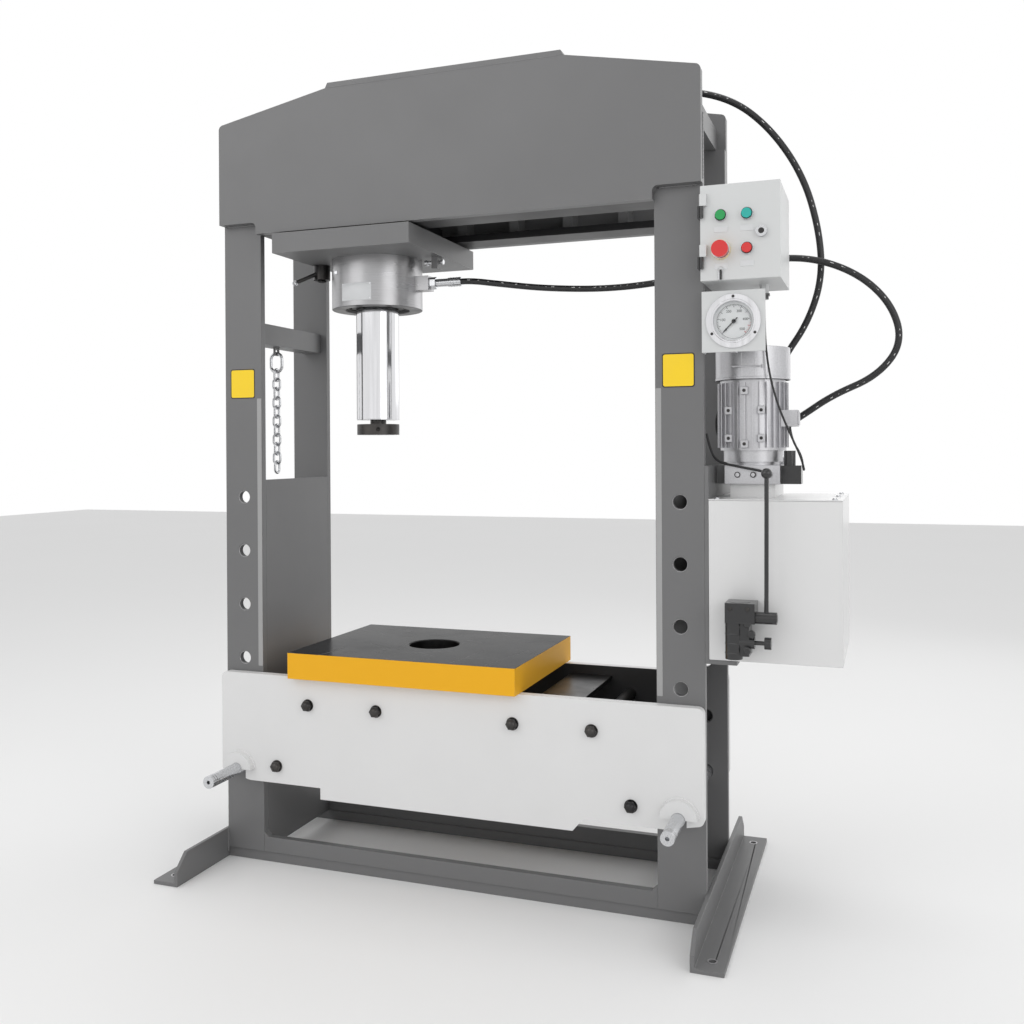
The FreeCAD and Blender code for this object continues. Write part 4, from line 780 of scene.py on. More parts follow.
def slab(name: str, width: float, height: float, depth: float, corner: float, edge: float, centre: Point,
         facing: Facing, crown: float = 0.0) -> bpy.types.Object:
    """A plate with rounded corners and edges, its front face crowned if asked.

    The outline is a rounded rectangle. It is carried up the depth through five
    levels, drawn in by the edge at both ends.

    Args:
        name: the piece's name.
        width: its size along the first local axis.
        height: its size along the second local axis.
        depth: its thickness.
        corner: the radius of its outline's corners.
        edge: the bevel of its rims.
        centre: the centre of its back face.
        facing: the way that its front faces.
        crown: how far its front stands out at the middle.

    Returns:
        The new object.
    """
    per_corner = 6
    quarter = np.linspace(0.0, np.pi / 2.0, per_corner)
    signs = np.array([(1, 1), (-1, 1), (-1, -1), (1, -1)], float)
    levels = [(0.0, edge), (edge, 0.0), (depth - edge, 0.0), (depth, edge)]
    loops = []
    for level, inset in levels:
        reach = max(corner - inset, 0.0002)
        centres = signs * (np.array([width, height]) / 2.0 - max(corner, inset))
        turns = quarter[None, :] + np.arange(4)[:, None] * np.pi / 2.0
        arcs = np.stack([np.cos(turns), np.sin(turns)], axis=-1) * reach + centres[:, None, :]
        flat = arcs.reshape(-1, 2)
        loops.append(np.column_stack([flat, np.full(len(flat), level)]))
    count = per_corner * 4
    front = loops[-1].copy()
    front[:, :2] *= 0.5
    front[:, 2] += crown
    loops.append(front)
    points = np.concatenate(loops)
    faces = grid_faces(len(loops), count, True)
    faces.append(tuple(range(count))[::-1])
    last = (len(loops) - 1) * count
    faces.append(tuple(range(last, last + count)))
    return mesh_piece(name, stand(points, centre, facing), faces)


def path_frames(path: np.ndarray, side: Point) -> tuple[np.ndarray, np.ndarray]:
    """Two unit vectors across a path at each of its points.

    The second lies along side as nearly as the path allows; the first is square to both.
    """
    along = np.gradient(path, axis=0)
    along /= np.linalg.norm(along, axis=1, keepdims=True)
    first = np.cross(along, np.array(side, float))
    first /= np.linalg.norm(first, axis=1, keepdims=True)
    return first, np.cross(first, along)


def tube(name: str, path: np.ndarray, radius: float | np.ndarray, side: Point = (0, 1, 0),
         sides: int = 16) -> bpy.types.Object:
    """A tube along a path: a circle carried square to it, with UVs of length and turn.

    Args:
        name: the piece's name.
        path: an n by 3 array of points.
        radius: one radius, or one for each point.
        side: a direction that the path never runs along.
        sides: the points round the tube.

    Returns:
        The new object.
    """
    first, second = path_frames(path, side)
    radii = np.broadcast_to(np.asarray(radius, float), (len(path),))[:, None, None]
    angle = np.linspace(0.0, 2.0 * np.pi, sides, endpoint=False)
    rings = path[:, None, :] + radii * (np.cos(angle)[None, :, None] * first[:, None, :]
                                        + np.sin(angle)[None, :, None] * second[:, None, :])
    faces = [face[::-1] for face in grid_faces(len(path), sides, True)]
    faces.append(tuple(range(sides)))
    last = (len(path) - 1) * sides
    faces.append(tuple(range(last, last + sides))[::-1])
    piece = mesh_piece(name, rings.reshape(-1, 3), faces, 60.0)
    steps = np.concatenate([[0.0], np.cumsum(np.linalg.norm(np.diff(path, axis=0), axis=1))])
    layer = piece.data.uv_layers.new(name="UVMap")
    corners = np.zeros(len(piece.data.loops), int)
    piece.data.loops.foreach_get("vertex_index", corners)
    spots = np.column_stack([steps[corners // sides], (corners % sides) / sides])
    wraps = np.zeros(len(piece.data.polygons), int)
    piece.data.polygons.foreach_get("loop_start", wraps)
    quads = wraps[:-2][:, None] + np.arange(4)[None, :]
    turn = spots[quads, 1]
    turn[(turn.max(axis=1) - turn.min(axis=1) > 0.5)[:, None] & (turn < 0.5)] += 1.0
    spots[quads, 1] = turn
    layer.data.foreach_set("uv", spots.ravel())
    return piece


def bead(name: str, start: Point, end: Point, size: float, side: Point) -> bpy.types.Object:
    """A weld bead: a tube between two points whose radius ripples along it.

    Args:
        name: the piece's name.
        start: one end.
        end: the other end.
        size: the bead's radius.
        side: a direction square to the bead.

    Returns:
        The new object.
    """
    reach = float(np.linalg.norm(np.subtract(end, start)))
    count = max(int(reach / (size * 0.55)), 8)
    share = np.linspace(0.0, 1.0, count)
    path = np.outer(1.0 - share, start) + np.outer(share, end)
    ripple = 1.0 + 0.13 * np.sin(share * reach / size * 2.2)
    fade = np.clip(np.minimum(share, 1.0 - share) * reach / size, 0.25, 1.0)
    return tube(name, path, size * ripple * fade, side, 8)


def smooth_route(name: str, route: list[Point]) -> np.ndarray:
    """Points along the NURBS line that has the route's points as its control points.

    Args:
        name: the name of the curve that is evaluated.
        route: the control points, in metres.

    Returns:
        An n by 3 array.
    """
    curve = bpy.data.curves.new(name, "CURVE")
    curve.dimensions = "3D"
    curve.resolution_u = 14
    spline = curve.splines.new("NURBS")
    spline.points.add(len(route) - 1)
    flat = np.column_stack([np.array(route, float), np.ones(len(route))])
    spline.points.foreach_set("co", flat.ravel())
    spline.order_u = 3
    spline.use_endpoint_u = True
    holder = bpy.data.objects.new(name, curve)
    bpy.context.scene.collection.objects.link(holder)
    bpy.context.view_layer.update()
    line = bpy.data.meshes.new_from_object(holder)
    path = np.zeros(len(line.vertices) * 3)
    line.vertices.foreach_get("co", path)
    bpy.data.objects.remove(holder)
    return path.reshape(-1, 3)


def smooth_by_angle() -> bpy.types.NodeTree:
    """A geometry group that shades smooth and keeps edges over 30 degrees sharp."""
    group = bpy.data.node_groups.new("SmoothShading", "GeometryNodeTree")
    group.interface.new_socket("Geometry", in_out="INPUT", socket_type="NodeSocketGeometry")
    group.interface.new_socket("Geometry", in_out="OUTPUT", socket_type="NodeSocketGeometry")
    nodes, links = group.nodes, group.links
    source = nodes.new("NodeGroupInput")
    sink = nodes.new("NodeGroupOutput")
    angle = nodes.new("GeometryNodeInputMeshEdgeAngle")
    limit = nodes.new("FunctionNodeCompare")
    limit.operation = "GREATER_THAN"
    limit.inputs[1].default_value = math.radians(30.0)
    faces = nodes.new("GeometryNodeSetShadeSmooth")
    faces.domain = "FACE"
    faces.inputs["Shade Smooth"].default_value = True
    edges = nodes.new("GeometryNodeSetShadeSmooth")
    edges.domain = "EDGE"
    edges.inputs["Shade Smooth"].default_value = False
    links.new(source.outputs[0], faces.inputs[0])
    links.new(faces.outputs[0], edges.inputs[0])
    links.new(angle.outputs["Unsigned Angle"], limit.inputs[0])
    links.new(limit.outputs[0], edges.inputs["Selection"])
    links.new(edges.outputs[0], sink.inputs[0])
    return group


@dataclass
class Piecework:
    """What every sub-assembly needs: the frame's nodes, the paintbox and a record of its pieces."""

    nodes: dict[str, bpy.types.Object]
    paints: Paintbox
    shading: bpy.types.NodeTree
    count: int = 0

    def add(self, piece: bpy.types.Object, body: str | None, key: str, slot: str) -> bpy.types.Object:
        """Dress a new piece, seat it on a body and report it.

        Args:
            piece: the new object.
            body: the body that it rides on, or None to leave it on no body.
            key: its finish.
            slot: a material slot's name; not used.

        Returns:
            The same object.
        """
        self.paints.dress(piece, key)
        if body:
            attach(piece, body)
        self.count += 1
        log.info("piece %s on %s", piece.name, body or "two bodies")
        return piece

    def finish_node(self, name: str, key: str, bevel: float = 0.0) -> None:
        """Give a solid its finish, smooth its round faces and break its edges.

        Args:
            name: the solid's name.
            key: its finish.
            bevel: the width of its broken edges, in metres.
        """
        node = self.nodes[name]
        self.paints.dress(node, key)
        weld = node.modifiers.new("Weld", "WELD")
        weld.merge_threshold = 0.00002
        if bevel:
            broken = node.modifiers.new("Edges", "BEVEL")
            broken.width = bevel
            broken.segments = 2
            broken.limit_method = "ANGLE"
            broken.angle_limit = math.radians(50.0)
            broken.use_clamp_overlap = True
        smooth = node.modifiers.new("Smooth", "NODES")
        smooth.node_group = self.shading
        level = node.modifiers.new("Flat faces", "WEIGHTED_NORMAL")
        level.keep_sharp = True


# ---------------------------------------------------------------------------
# Sub-assemblies
# ---------------------------------------------------------------------------
@dataclass
class WeldedFrame:
    """The head, pillars, base and feet, with their welds, hole rims and plain fields."""

    work: Piecework
    edge: float = 0.0012
    bead_size: float = 0.0032
    hole_pitch: float = 0.150
    first_hole: float = 0.265
    hole_radius: float = 0.017
    field_size: tuple[float, float] = (0.079, 0.082)
    field_height: float = 1.332
    hole_count: int = 6
    strip_width: float = 0.014
    strip_bottom: float = 0.545
    strip_top: float = 1.290
    strip_thickness: float = 0.0003
    panel_top: float = 1.060
    panel_reach: float = 0.575
    strut_reach: float = 0.060
    strut_depth: float = 0.058
    bead_inset: float = 0.0205
    anchor_spot: tuple[float, float] = (0.715, 0.368)
    post_pitch: float = 0.16

    def build(self) -> None:
        """Dress the frame's plates and add its fine parts."""
        self.dress_plates()
        self.add_hole_rims()
        self.add_fields()
        self.add_edge_highlight_strips()
        self.add_welds()
        self.add_anchor_washers()

    def dress_plates(self) -> None:
        """Grey paint outside; the carriage rails inside the head are near black, as painted shade."""
        for name in ("head_front_plate", "head_back_plate", "head_cap_plate", "left_front_pillar",
                     "left_back_pillar", "right_front_pillar", "right_back_pillar", "side_panels",
                     "side_struts", "base_beams", "left_foot", "right_foot", "tank_bracket"):
            self.work.finish_node(name, "frame", self.edge)
        # Painted shade: the rails inside the head are near black.
        self.work.finish_node("carriage_rails", "frame_shade_black", self.edge)
        self.work.finish_node("head_stiffeners", "frame", self.edge)

    def add_hole_rims(self) -> None:
        """Bare rings inside each pin hole's front rim, where the pins rub."""
        for side in ("left", "right"):
            low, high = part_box(f"{side}_front_pillar")
            middle = (low.x + high.x) / 2.0
            for step in range(self.hole_count):
                height = self.first_hole + self.hole_pitch * step
                rim = ring_piece(f"{side}_hole_rim_{step + 1}", self.hole_radius + 0.0003,
                                 self.hole_radius + 0.0022,
                                 0.0012, 0.0003, (middle, low.y + 0.0026, height), Facing.FRONT)
                self.work.add(rim, "frame", "steel", "bare_steel")

    def add_fields(self) -> None:
        """Plain yellow fields with a thin black border on the front pillars."""
        for side in ("left", "right"):
            low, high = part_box(f"{side}_front_pillar")
            centre = ((low.x + high.x) / 2.0 - 0.002, low.y, self.field_height)
            width, height = self.field_size
            border = slab(f"{side}_field_border", width, height, 0.0005, 0.006, 0.0002, centre, Facing.FRONT)
            self.work.add(border, "frame", "ink", "black_plastic")
            centre = (centre[0], low.y - 0.0004, centre[2])
            plain = slab(f"{side}_field", width - 0.005, height - 0.005, 0.0005, 0.005, 0.0002, centre,
                         Facing.FRONT)
            self.work.add(plain, "frame", "decal", "plate_paint")

    def add_edge_highlight_strips(self) -> None:
        """Lighter grey strips on the pillars' inner edges: painted highlight where the edge catches the
        light.
        """
        for side, sign in (("left", -1.0), ("right", 1.0)):
            low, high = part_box(f"{side}_front_pillar")
            inner = high.x if sign < 0 else low.x
            middle = (self.strip_bottom + self.strip_top) / 2.0
            height = self.strip_top - self.strip_bottom
            strip = slab(f"{side}_edge_highlight_strip", self.strip_width, height, self.strip_thickness, 0.002, 0.0001,
                         (inner + sign * (self.strip_width / 2.0 + 0.001), low.y, middle), Facing.FRONT)
            self.work.add(strip, "frame", "strip", "bare_steel")

    def add_welds(self) -> None:
        """Rippled beads where head, pillars, struts, base and feet meet."""
        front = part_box("head_front_plate")
        for side, sign in (("left", -1.0), ("right", 1.0)):
            low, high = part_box(f"{side}_front_pillar")
            lap = front[0].z + 0.032
            outer = low.x if sign < 0 else high.x
            inner = high.x if sign < 0 else low.x
            size = self.bead_size
            spots = [
                (f"{side}_lap_bead", (low.x + 0.010, low.y - size * 0.3, lap - size * 0.3),
                 (high.x - 0.012, low.y - size * 0.3, lap - size * 0.3), (0, 1, 0)),
                (f"{side}_head_edge_bead", (outer - sign * size * 0.4, low.y, lap + 0.010),
                 (outer - sign * size * 0.4, low.y, front[0].z + 0.205), (0, 1, 0)),
                (f"{side}_foot_bead", (outer - sign * size * 0.2, low.y - size * 0.2, 0.012),
                 (outer - sign * size * 0.2, low.y - size * 0.2, 0.078), (0, 1, 0)),
                (f"{side}_panel_bead", (inner + sign * 0.010, low.y + self.bead_inset, 0.040),
                 (inner + sign * 0.010, low.y + self.bead_inset, self.panel_top), (0, 1, 0)),
            ]
            strut_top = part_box("side_struts")[1].z
            inside = sign * (self.panel_reach + self.strut_reach)
            for end, height in (("top", strut_top), ("bottom", strut_top - self.strut_depth)):
                spots.append((f"{side}_strut_{end}_bead",
                              (sign * (self.panel_reach + 0.002), low.y + self.bead_inset, height),
                              (inside - sign * 0.002, low.y + self.bead_inset, height), (0, 1, 0)))
            for name, start, stop, across in spots:
                self.work.add(bead(name, start, stop, size, across), "frame", "frame", "frame_paint")
        cap_low, cap_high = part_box("head_cap_plate")
        for name, depth in (("front_cap_bead", cap_low.y + 0.002), ("back_cap_bead", cap_high.y - 0.002)):
            run = bead(name, (cap_low.x + 0.01, depth, cap_low.z), (cap_high.x - 0.01, depth, cap_low.z),
                       0.0026, (0, 1, 0))
            self.work.add(run, "frame", "frame", "frame_paint")
        for step in (-2.5, -1.5, -0.5, 0.5, 1.5, 2.5):
            foot = bead(f"post_bead_{step * 2 + 6:.0f}", (self.post_pitch * step - 0.013, 0.1296, 1.7638),
                        (self.post_pitch * step + 0.013, 0.1296, 1.7638), 0.003, (0, 1, 0))
            self.work.add(foot, "frame", "frame", "frame_paint")

    def add_anchor_washers(self) -> None:
        """Worn rings round the anchor holes in the foot angles."""
        across, reach = self.anchor_spot
        for sign in (-1.0, 1.0):
            for depth in (-reach, reach):
                name = f"anchor_rim_{'left' if sign < 0 else 'right'}_{'front' if depth < 0 else 'back'}"
                rim = ring_piece(name, 0.0081, 0.0115, 0.0006, 0.0002, (sign * across, depth, 0.0098),
                                 Facing.UP)
                self.work.add(rim, "frame", "steel", "bare_steel")


@dataclass
class LiftTable:
    """The light grey table with its bolts and saddles, the press plate and the two pins."""

    work: Piecework
    edge: float = 0.0015
    washer: float = 0.0165
    tie_bolts: tuple[float, ...] = (-0.398, -0.192, 0.192, 0.398)
    tie_height: float = 0.453
    low_bolts: tuple[float, ...] = (-0.496, 0.496)
    low_height: float = 0.279
    pin_spot: tuple[float, float] = (0.614, 0.265)
    saddle_radius: float = 0.0455
    bead_points: int = 90

    def build(self) -> None:
        """Dress the table and add washers, weld beads and pin grooves."""
        for name in ("table_front_plate", "table_back_plate"):
            self.work.finish_node(name, "table", self.edge)
        # The spacers between the plates are near black: painted shade inside the table.
        self.work.finish_node("table_spacers", "black_steel", 0.0006)
        self.work.finish_node("table_bolts", "black_steel", 0.0010)
        self.work.finish_node("press_plate", "plate", 0.0022)
        self.work.finish_node("left_table_pin", "zinc", 0.0016)
        self.work.finish_node("right_table_pin", "zinc", 0.0016)
        self.add_washers()
        self.add_saddle_beads()
        self.add_pin_grooves()
        self.add_hole_shade_ring()

    def add_washers(self) -> None:
        """A washer and a domed plug in each bolt head on the front plate."""
        low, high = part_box("table_front_plate")
        face = low.y + 0.020
        places = [(across, self.tie_height) for across in self.tie_bolts]
        places += [(across, self.low_height) for across in self.low_bolts]
        for number, (across, height) in enumerate(places, start=1):
            washer = ring_piece(f"washer_{number}", 0.0110, self.washer, 0.0022, 0.0005,
                                (across, face, height),
                                Facing.FRONT)
            self.work.add(washer, "table", "black_steel", "black_bolt")
            dome = turned(f"bolt_dome_{number}",
                          [(0.0108, 0.0), (0.0108, 0.0012), (0.0085, 0.0042), (0.0045, 0.0056),
                           (0.0008, 0.0060)], (across, face - 0.0125, height), Facing.FRONT, 24)
            self.work.add(dome, "table", "black_steel", "black_bolt")

    def add_saddle_beads(self) -> None:
        """Weld beads round the pin saddles."""
        low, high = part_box("table_front_plate")
        for side, sign in (("left", -1.0), ("right", 1.0)):
            turn = np.linspace(np.radians(3.0), np.radians(177.0), self.bead_points)
            across, height = self.pin_spot
            path = np.column_stack([sign * across + self.saddle_radius * np.cos(turn),
                                    np.full(self.bead_points, low.y + 0.0195),
                                    height + self.saddle_radius * np.sin(turn)])
            ripple = 0.0032 * (1.0 + 0.14 * np.sin(np.arange(self.bead_points) * 1.5))
            run = tube(f"{side}_saddle_bead", path, ripple, (0, 1, 0), 8)
            self.work.add(run, "table", "table", "table_paint")

    def add_pin_grooves(self) -> None:
        """Turned collars near the front ends of the pins."""
        for side in ("left", "right"):
            low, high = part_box(f"{side}_table_pin")
            middle = (low.x + high.x) / 2.0
            height = (low.z + high.z) / 2.0
            for number, out in enumerate((0.010, 0.018), start=1):
                collar = ring_piece(f"{side}_pin_band_{number}", 0.0160, 0.01675, 0.0016, 0.0003,
                                    (middle, low.y + out, height), Facing.BACK)
                self.work.add(collar, f"{side}_pin", "black_steel", "bare_steel")

    def add_hole_shade_ring(self) -> None:
        """Near-black band inside the press plate's round hole: painted shade on its wall."""
        low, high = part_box("press_plate")
        lining = ring_piece("hole_shade_ring", 0.0703, 0.0716, high.z - low.z - 0.004, 0.0004,
                            (-0.118, 0.0, low.z + 0.002), Facing.UP, 96)
        self.work.add(lining, "table", "black_steel", "bare_steel")


@dataclass
class Cylinder:
    """The carriage plate, the cylinder, its ram and both clamps."""

    work: Piecework
    plate_size: tuple[float, float] = (0.093, 0.048)

    def build(self) -> None:
        """Dress the cylinder and add its seals, screws and plain nameplate."""
        finishes = {
            # The slide block takes the same near-black painted shade as the rails.
            "carriage_plate": ("frame", 0.0014), "slide_block": ("frame_shade_black", 0.0012),
            "cylinder_barrel": ("barrel", 0.0012), "cylinder_gland": ("black_steel", 0.0008),
            "port_fittings": ("zinc", 0.0005), "left_clamp_handle": ("black_steel", 0.0010),
            "right_clamp_handle": ("zinc", 0.0004), "piston_rod": ("chrome", 0.0010),
            "ram_pad": ("black_steel", 0.0018),
        }
        for name, (key, bevel) in finishes.items():
            self.work.finish_node(name, key, bevel)
        self.add_nameplate()
        self.add_seals()
        self.add_gland_screws()
        self.add_port_parts()
        self.add_ram_collar()
        self.add_clamp_parts()

    def axis(self) -> tuple[float, float]:
        """The cylinder's centre, from above."""
        low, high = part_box("ram_pad")
        return (low.x + high.x) / 2.0, (low.y + high.y) / 2.0

    def add_nameplate(self) -> None:
        """A blank plate bent round the barrel's front, held by four rivets."""
        across, depth = self.axis()
        width, height = self.plate_size
        radius = 0.1285
        turn = np.linspace(-width / 2.0, width / 2.0, 25) / radius - 0.02
        rise = np.array([0.0, 0.0008, height - 0.0008, height])
        lift = np.array([0.0001, 0.0007, 0.0007, 0.0001])
        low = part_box("cylinder_barrel")[0].z + 0.014
        angle = np.broadcast_to(turn[None, :], (4, 25))
        far = radius + lift[:, None]
        points = np.stack([across + far * np.sin(angle), depth - far * np.cos(angle),
                           np.broadcast_to((low + rise)[:, None], (4, 25))], axis=-1).reshape(-1, 3)
        plate = mesh_piece("cylinder_nameplate", points, grid_faces(4, 25, False), 60.0)
        self.work.add(plate, "carriage", "label", "zinc")
        for number, (share, up) in enumerate(((-0.46, 0.08), (0.46, 0.08), (-0.46, 0.92), (0.46, 0.92)),
                                             start=1):
            angle = share * width / radius - 0.02
            spot = (across + 0.1288 * math.sin(angle), depth - 0.1288 * math.cos(angle), low + up * height)
            rivet = turned(f"nameplate_rivet_{number}", [(0.0022, 0.0), (0.0020, 0.0006), (0.0004, 0.0010)],
                           spot,
                           Facing.FRONT, 16)
            self.work.add(rivet, "carriage", "zinc", "zinc")

    def add_seals(self) -> None:
        """The wiper ring round the ram, the dark groove round the gland, and a near-black ring under the
        barrel as painted shade.
        """
        across, depth = self.axis()
        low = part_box("cylinder_gland")[0].z
        wiper = ring_piece("rod_wiper", 0.0615, 0.0690, 0.0032, 0.0009, (across, depth, low - 0.0030),
                           Facing.UP, 96)
        self.work.add(wiper, "carriage", "rubber", "rubber_hose")
        groove = ring_piece("gland_ring", 0.0862, 0.0916, 0.0022, 0.0006, (across, depth, low - 0.0020),
                            Facing.UP, 96)
        self.work.add(groove, "carriage", "black_steel", "black_bolt")
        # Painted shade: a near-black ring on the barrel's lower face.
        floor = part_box("cylinder_barrel")[0].z
        face = ring_piece("barrel_underside_shade", 0.0922, 0.1276, 0.0010, 0.0003,
                          (across, depth, floor - 0.0007), Facing.UP,
                          96)
        self.work.add(face, "carriage", "black_steel", "black_bolt")

    def add_gland_screws(self) -> None:
        """Socket screws in the gland's face: short hexagon-bored heads."""
        across, depth = self.axis()
        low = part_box("cylinder_gland")[0].z
        for number in range(8):
            turn = 2.0 * math.pi * (number + 0.5) / 8.0
            spot = (across + 0.0775 * math.cos(turn), depth + 0.0775 * math.sin(turn), low)
            head = ring_piece(f"gland_screw_{number + 1}", 0.0025, 0.0050, 0.0045, 0.0005, spot, Facing.DOWN,
                              24)
            self.work.add(head, "carriage", "black_steel", "black_bolt")

    def add_port_parts(self) -> None:
        """Crimp bands on the ferrules and a bleed plug on the barrel."""
        for name, start, height in (("lower", -0.068, 1.612), ("upper", -0.176, 1.845)):
            for number in range(4):
                band = ring_piece(f"{name}_crimp_{number + 1}", 0.0122, 0.0129, 0.0050, 0.0008,
                                  (start + 0.006 + 0.0085 * number, 0.0, height), Facing.RIGHT, 32)
                self.work.add(band, "carriage", "zinc", "zinc")
        across, depth = self.axis()
        spot = (across - 0.075, depth - 0.1043, 1.642)
        plug = turned("bleed_plug", [(0.0065, -0.002), (0.0065, 0.0018), (0.0055, 0.0030), (0.0008, 0.0030)],
                      spot,
                      Facing.FRONT, 6)
        self.work.add(plug, "carriage", "zinc", "zinc")

    def add_ram_collar(self) -> None:
        """The black sleeve between the ram and its pad, and the ram's bright chamfer."""
        across, depth = self.axis()
        low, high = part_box("ram_pad")
        sleeve = ring_piece("pad_sleeve", 0.0205, 0.0228, 0.0115, 0.0006, (across, depth, high.z + 0.0003),
                            Facing.UP, 96)
        self.work.add(sleeve, "ram", "black_steel", "black_bolt")
        chamfer = ring_piece("ram_chamfer", 0.0560, 0.0614, 0.0030, 0.0012, (across, depth, high.z + 0.0118),
                             Facing.UP, 96)
        self.work.add(chamfer, "ram", "chrome", "ram_chrome")

    def add_clamp_parts(self) -> None:
        """A bright ball on the clamp lever's end, and the stud's nut under its hub."""
        low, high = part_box("left_clamp_handle")
        tip = (low.x + 0.005, low.y + 0.005, low.z + 0.005)
        ball_profile = [(0.0085 * math.sin(share), -0.0085 * math.cos(share))
                        for share in np.linspace(0.12, math.pi - 0.12, 12)]
        grip = turned("clamp_ball", ball_profile, tip, Facing.UP, 24)
        self.work.add(grip, "left_clamp", "zinc", "zinc")
        hub = (-0.471, 0.0, low.z + 0.0102)
        nut = turned("clamp_nut", [(0.013, 0.0), (0.013, 0.004), (0.0115, 0.0055), (0.009, 0.0055)],
                     (hub[0], hub[1], 1.6360), Facing.UP, 6)
        self.work.add(nut, "carriage", "black_steel", "black_bolt")


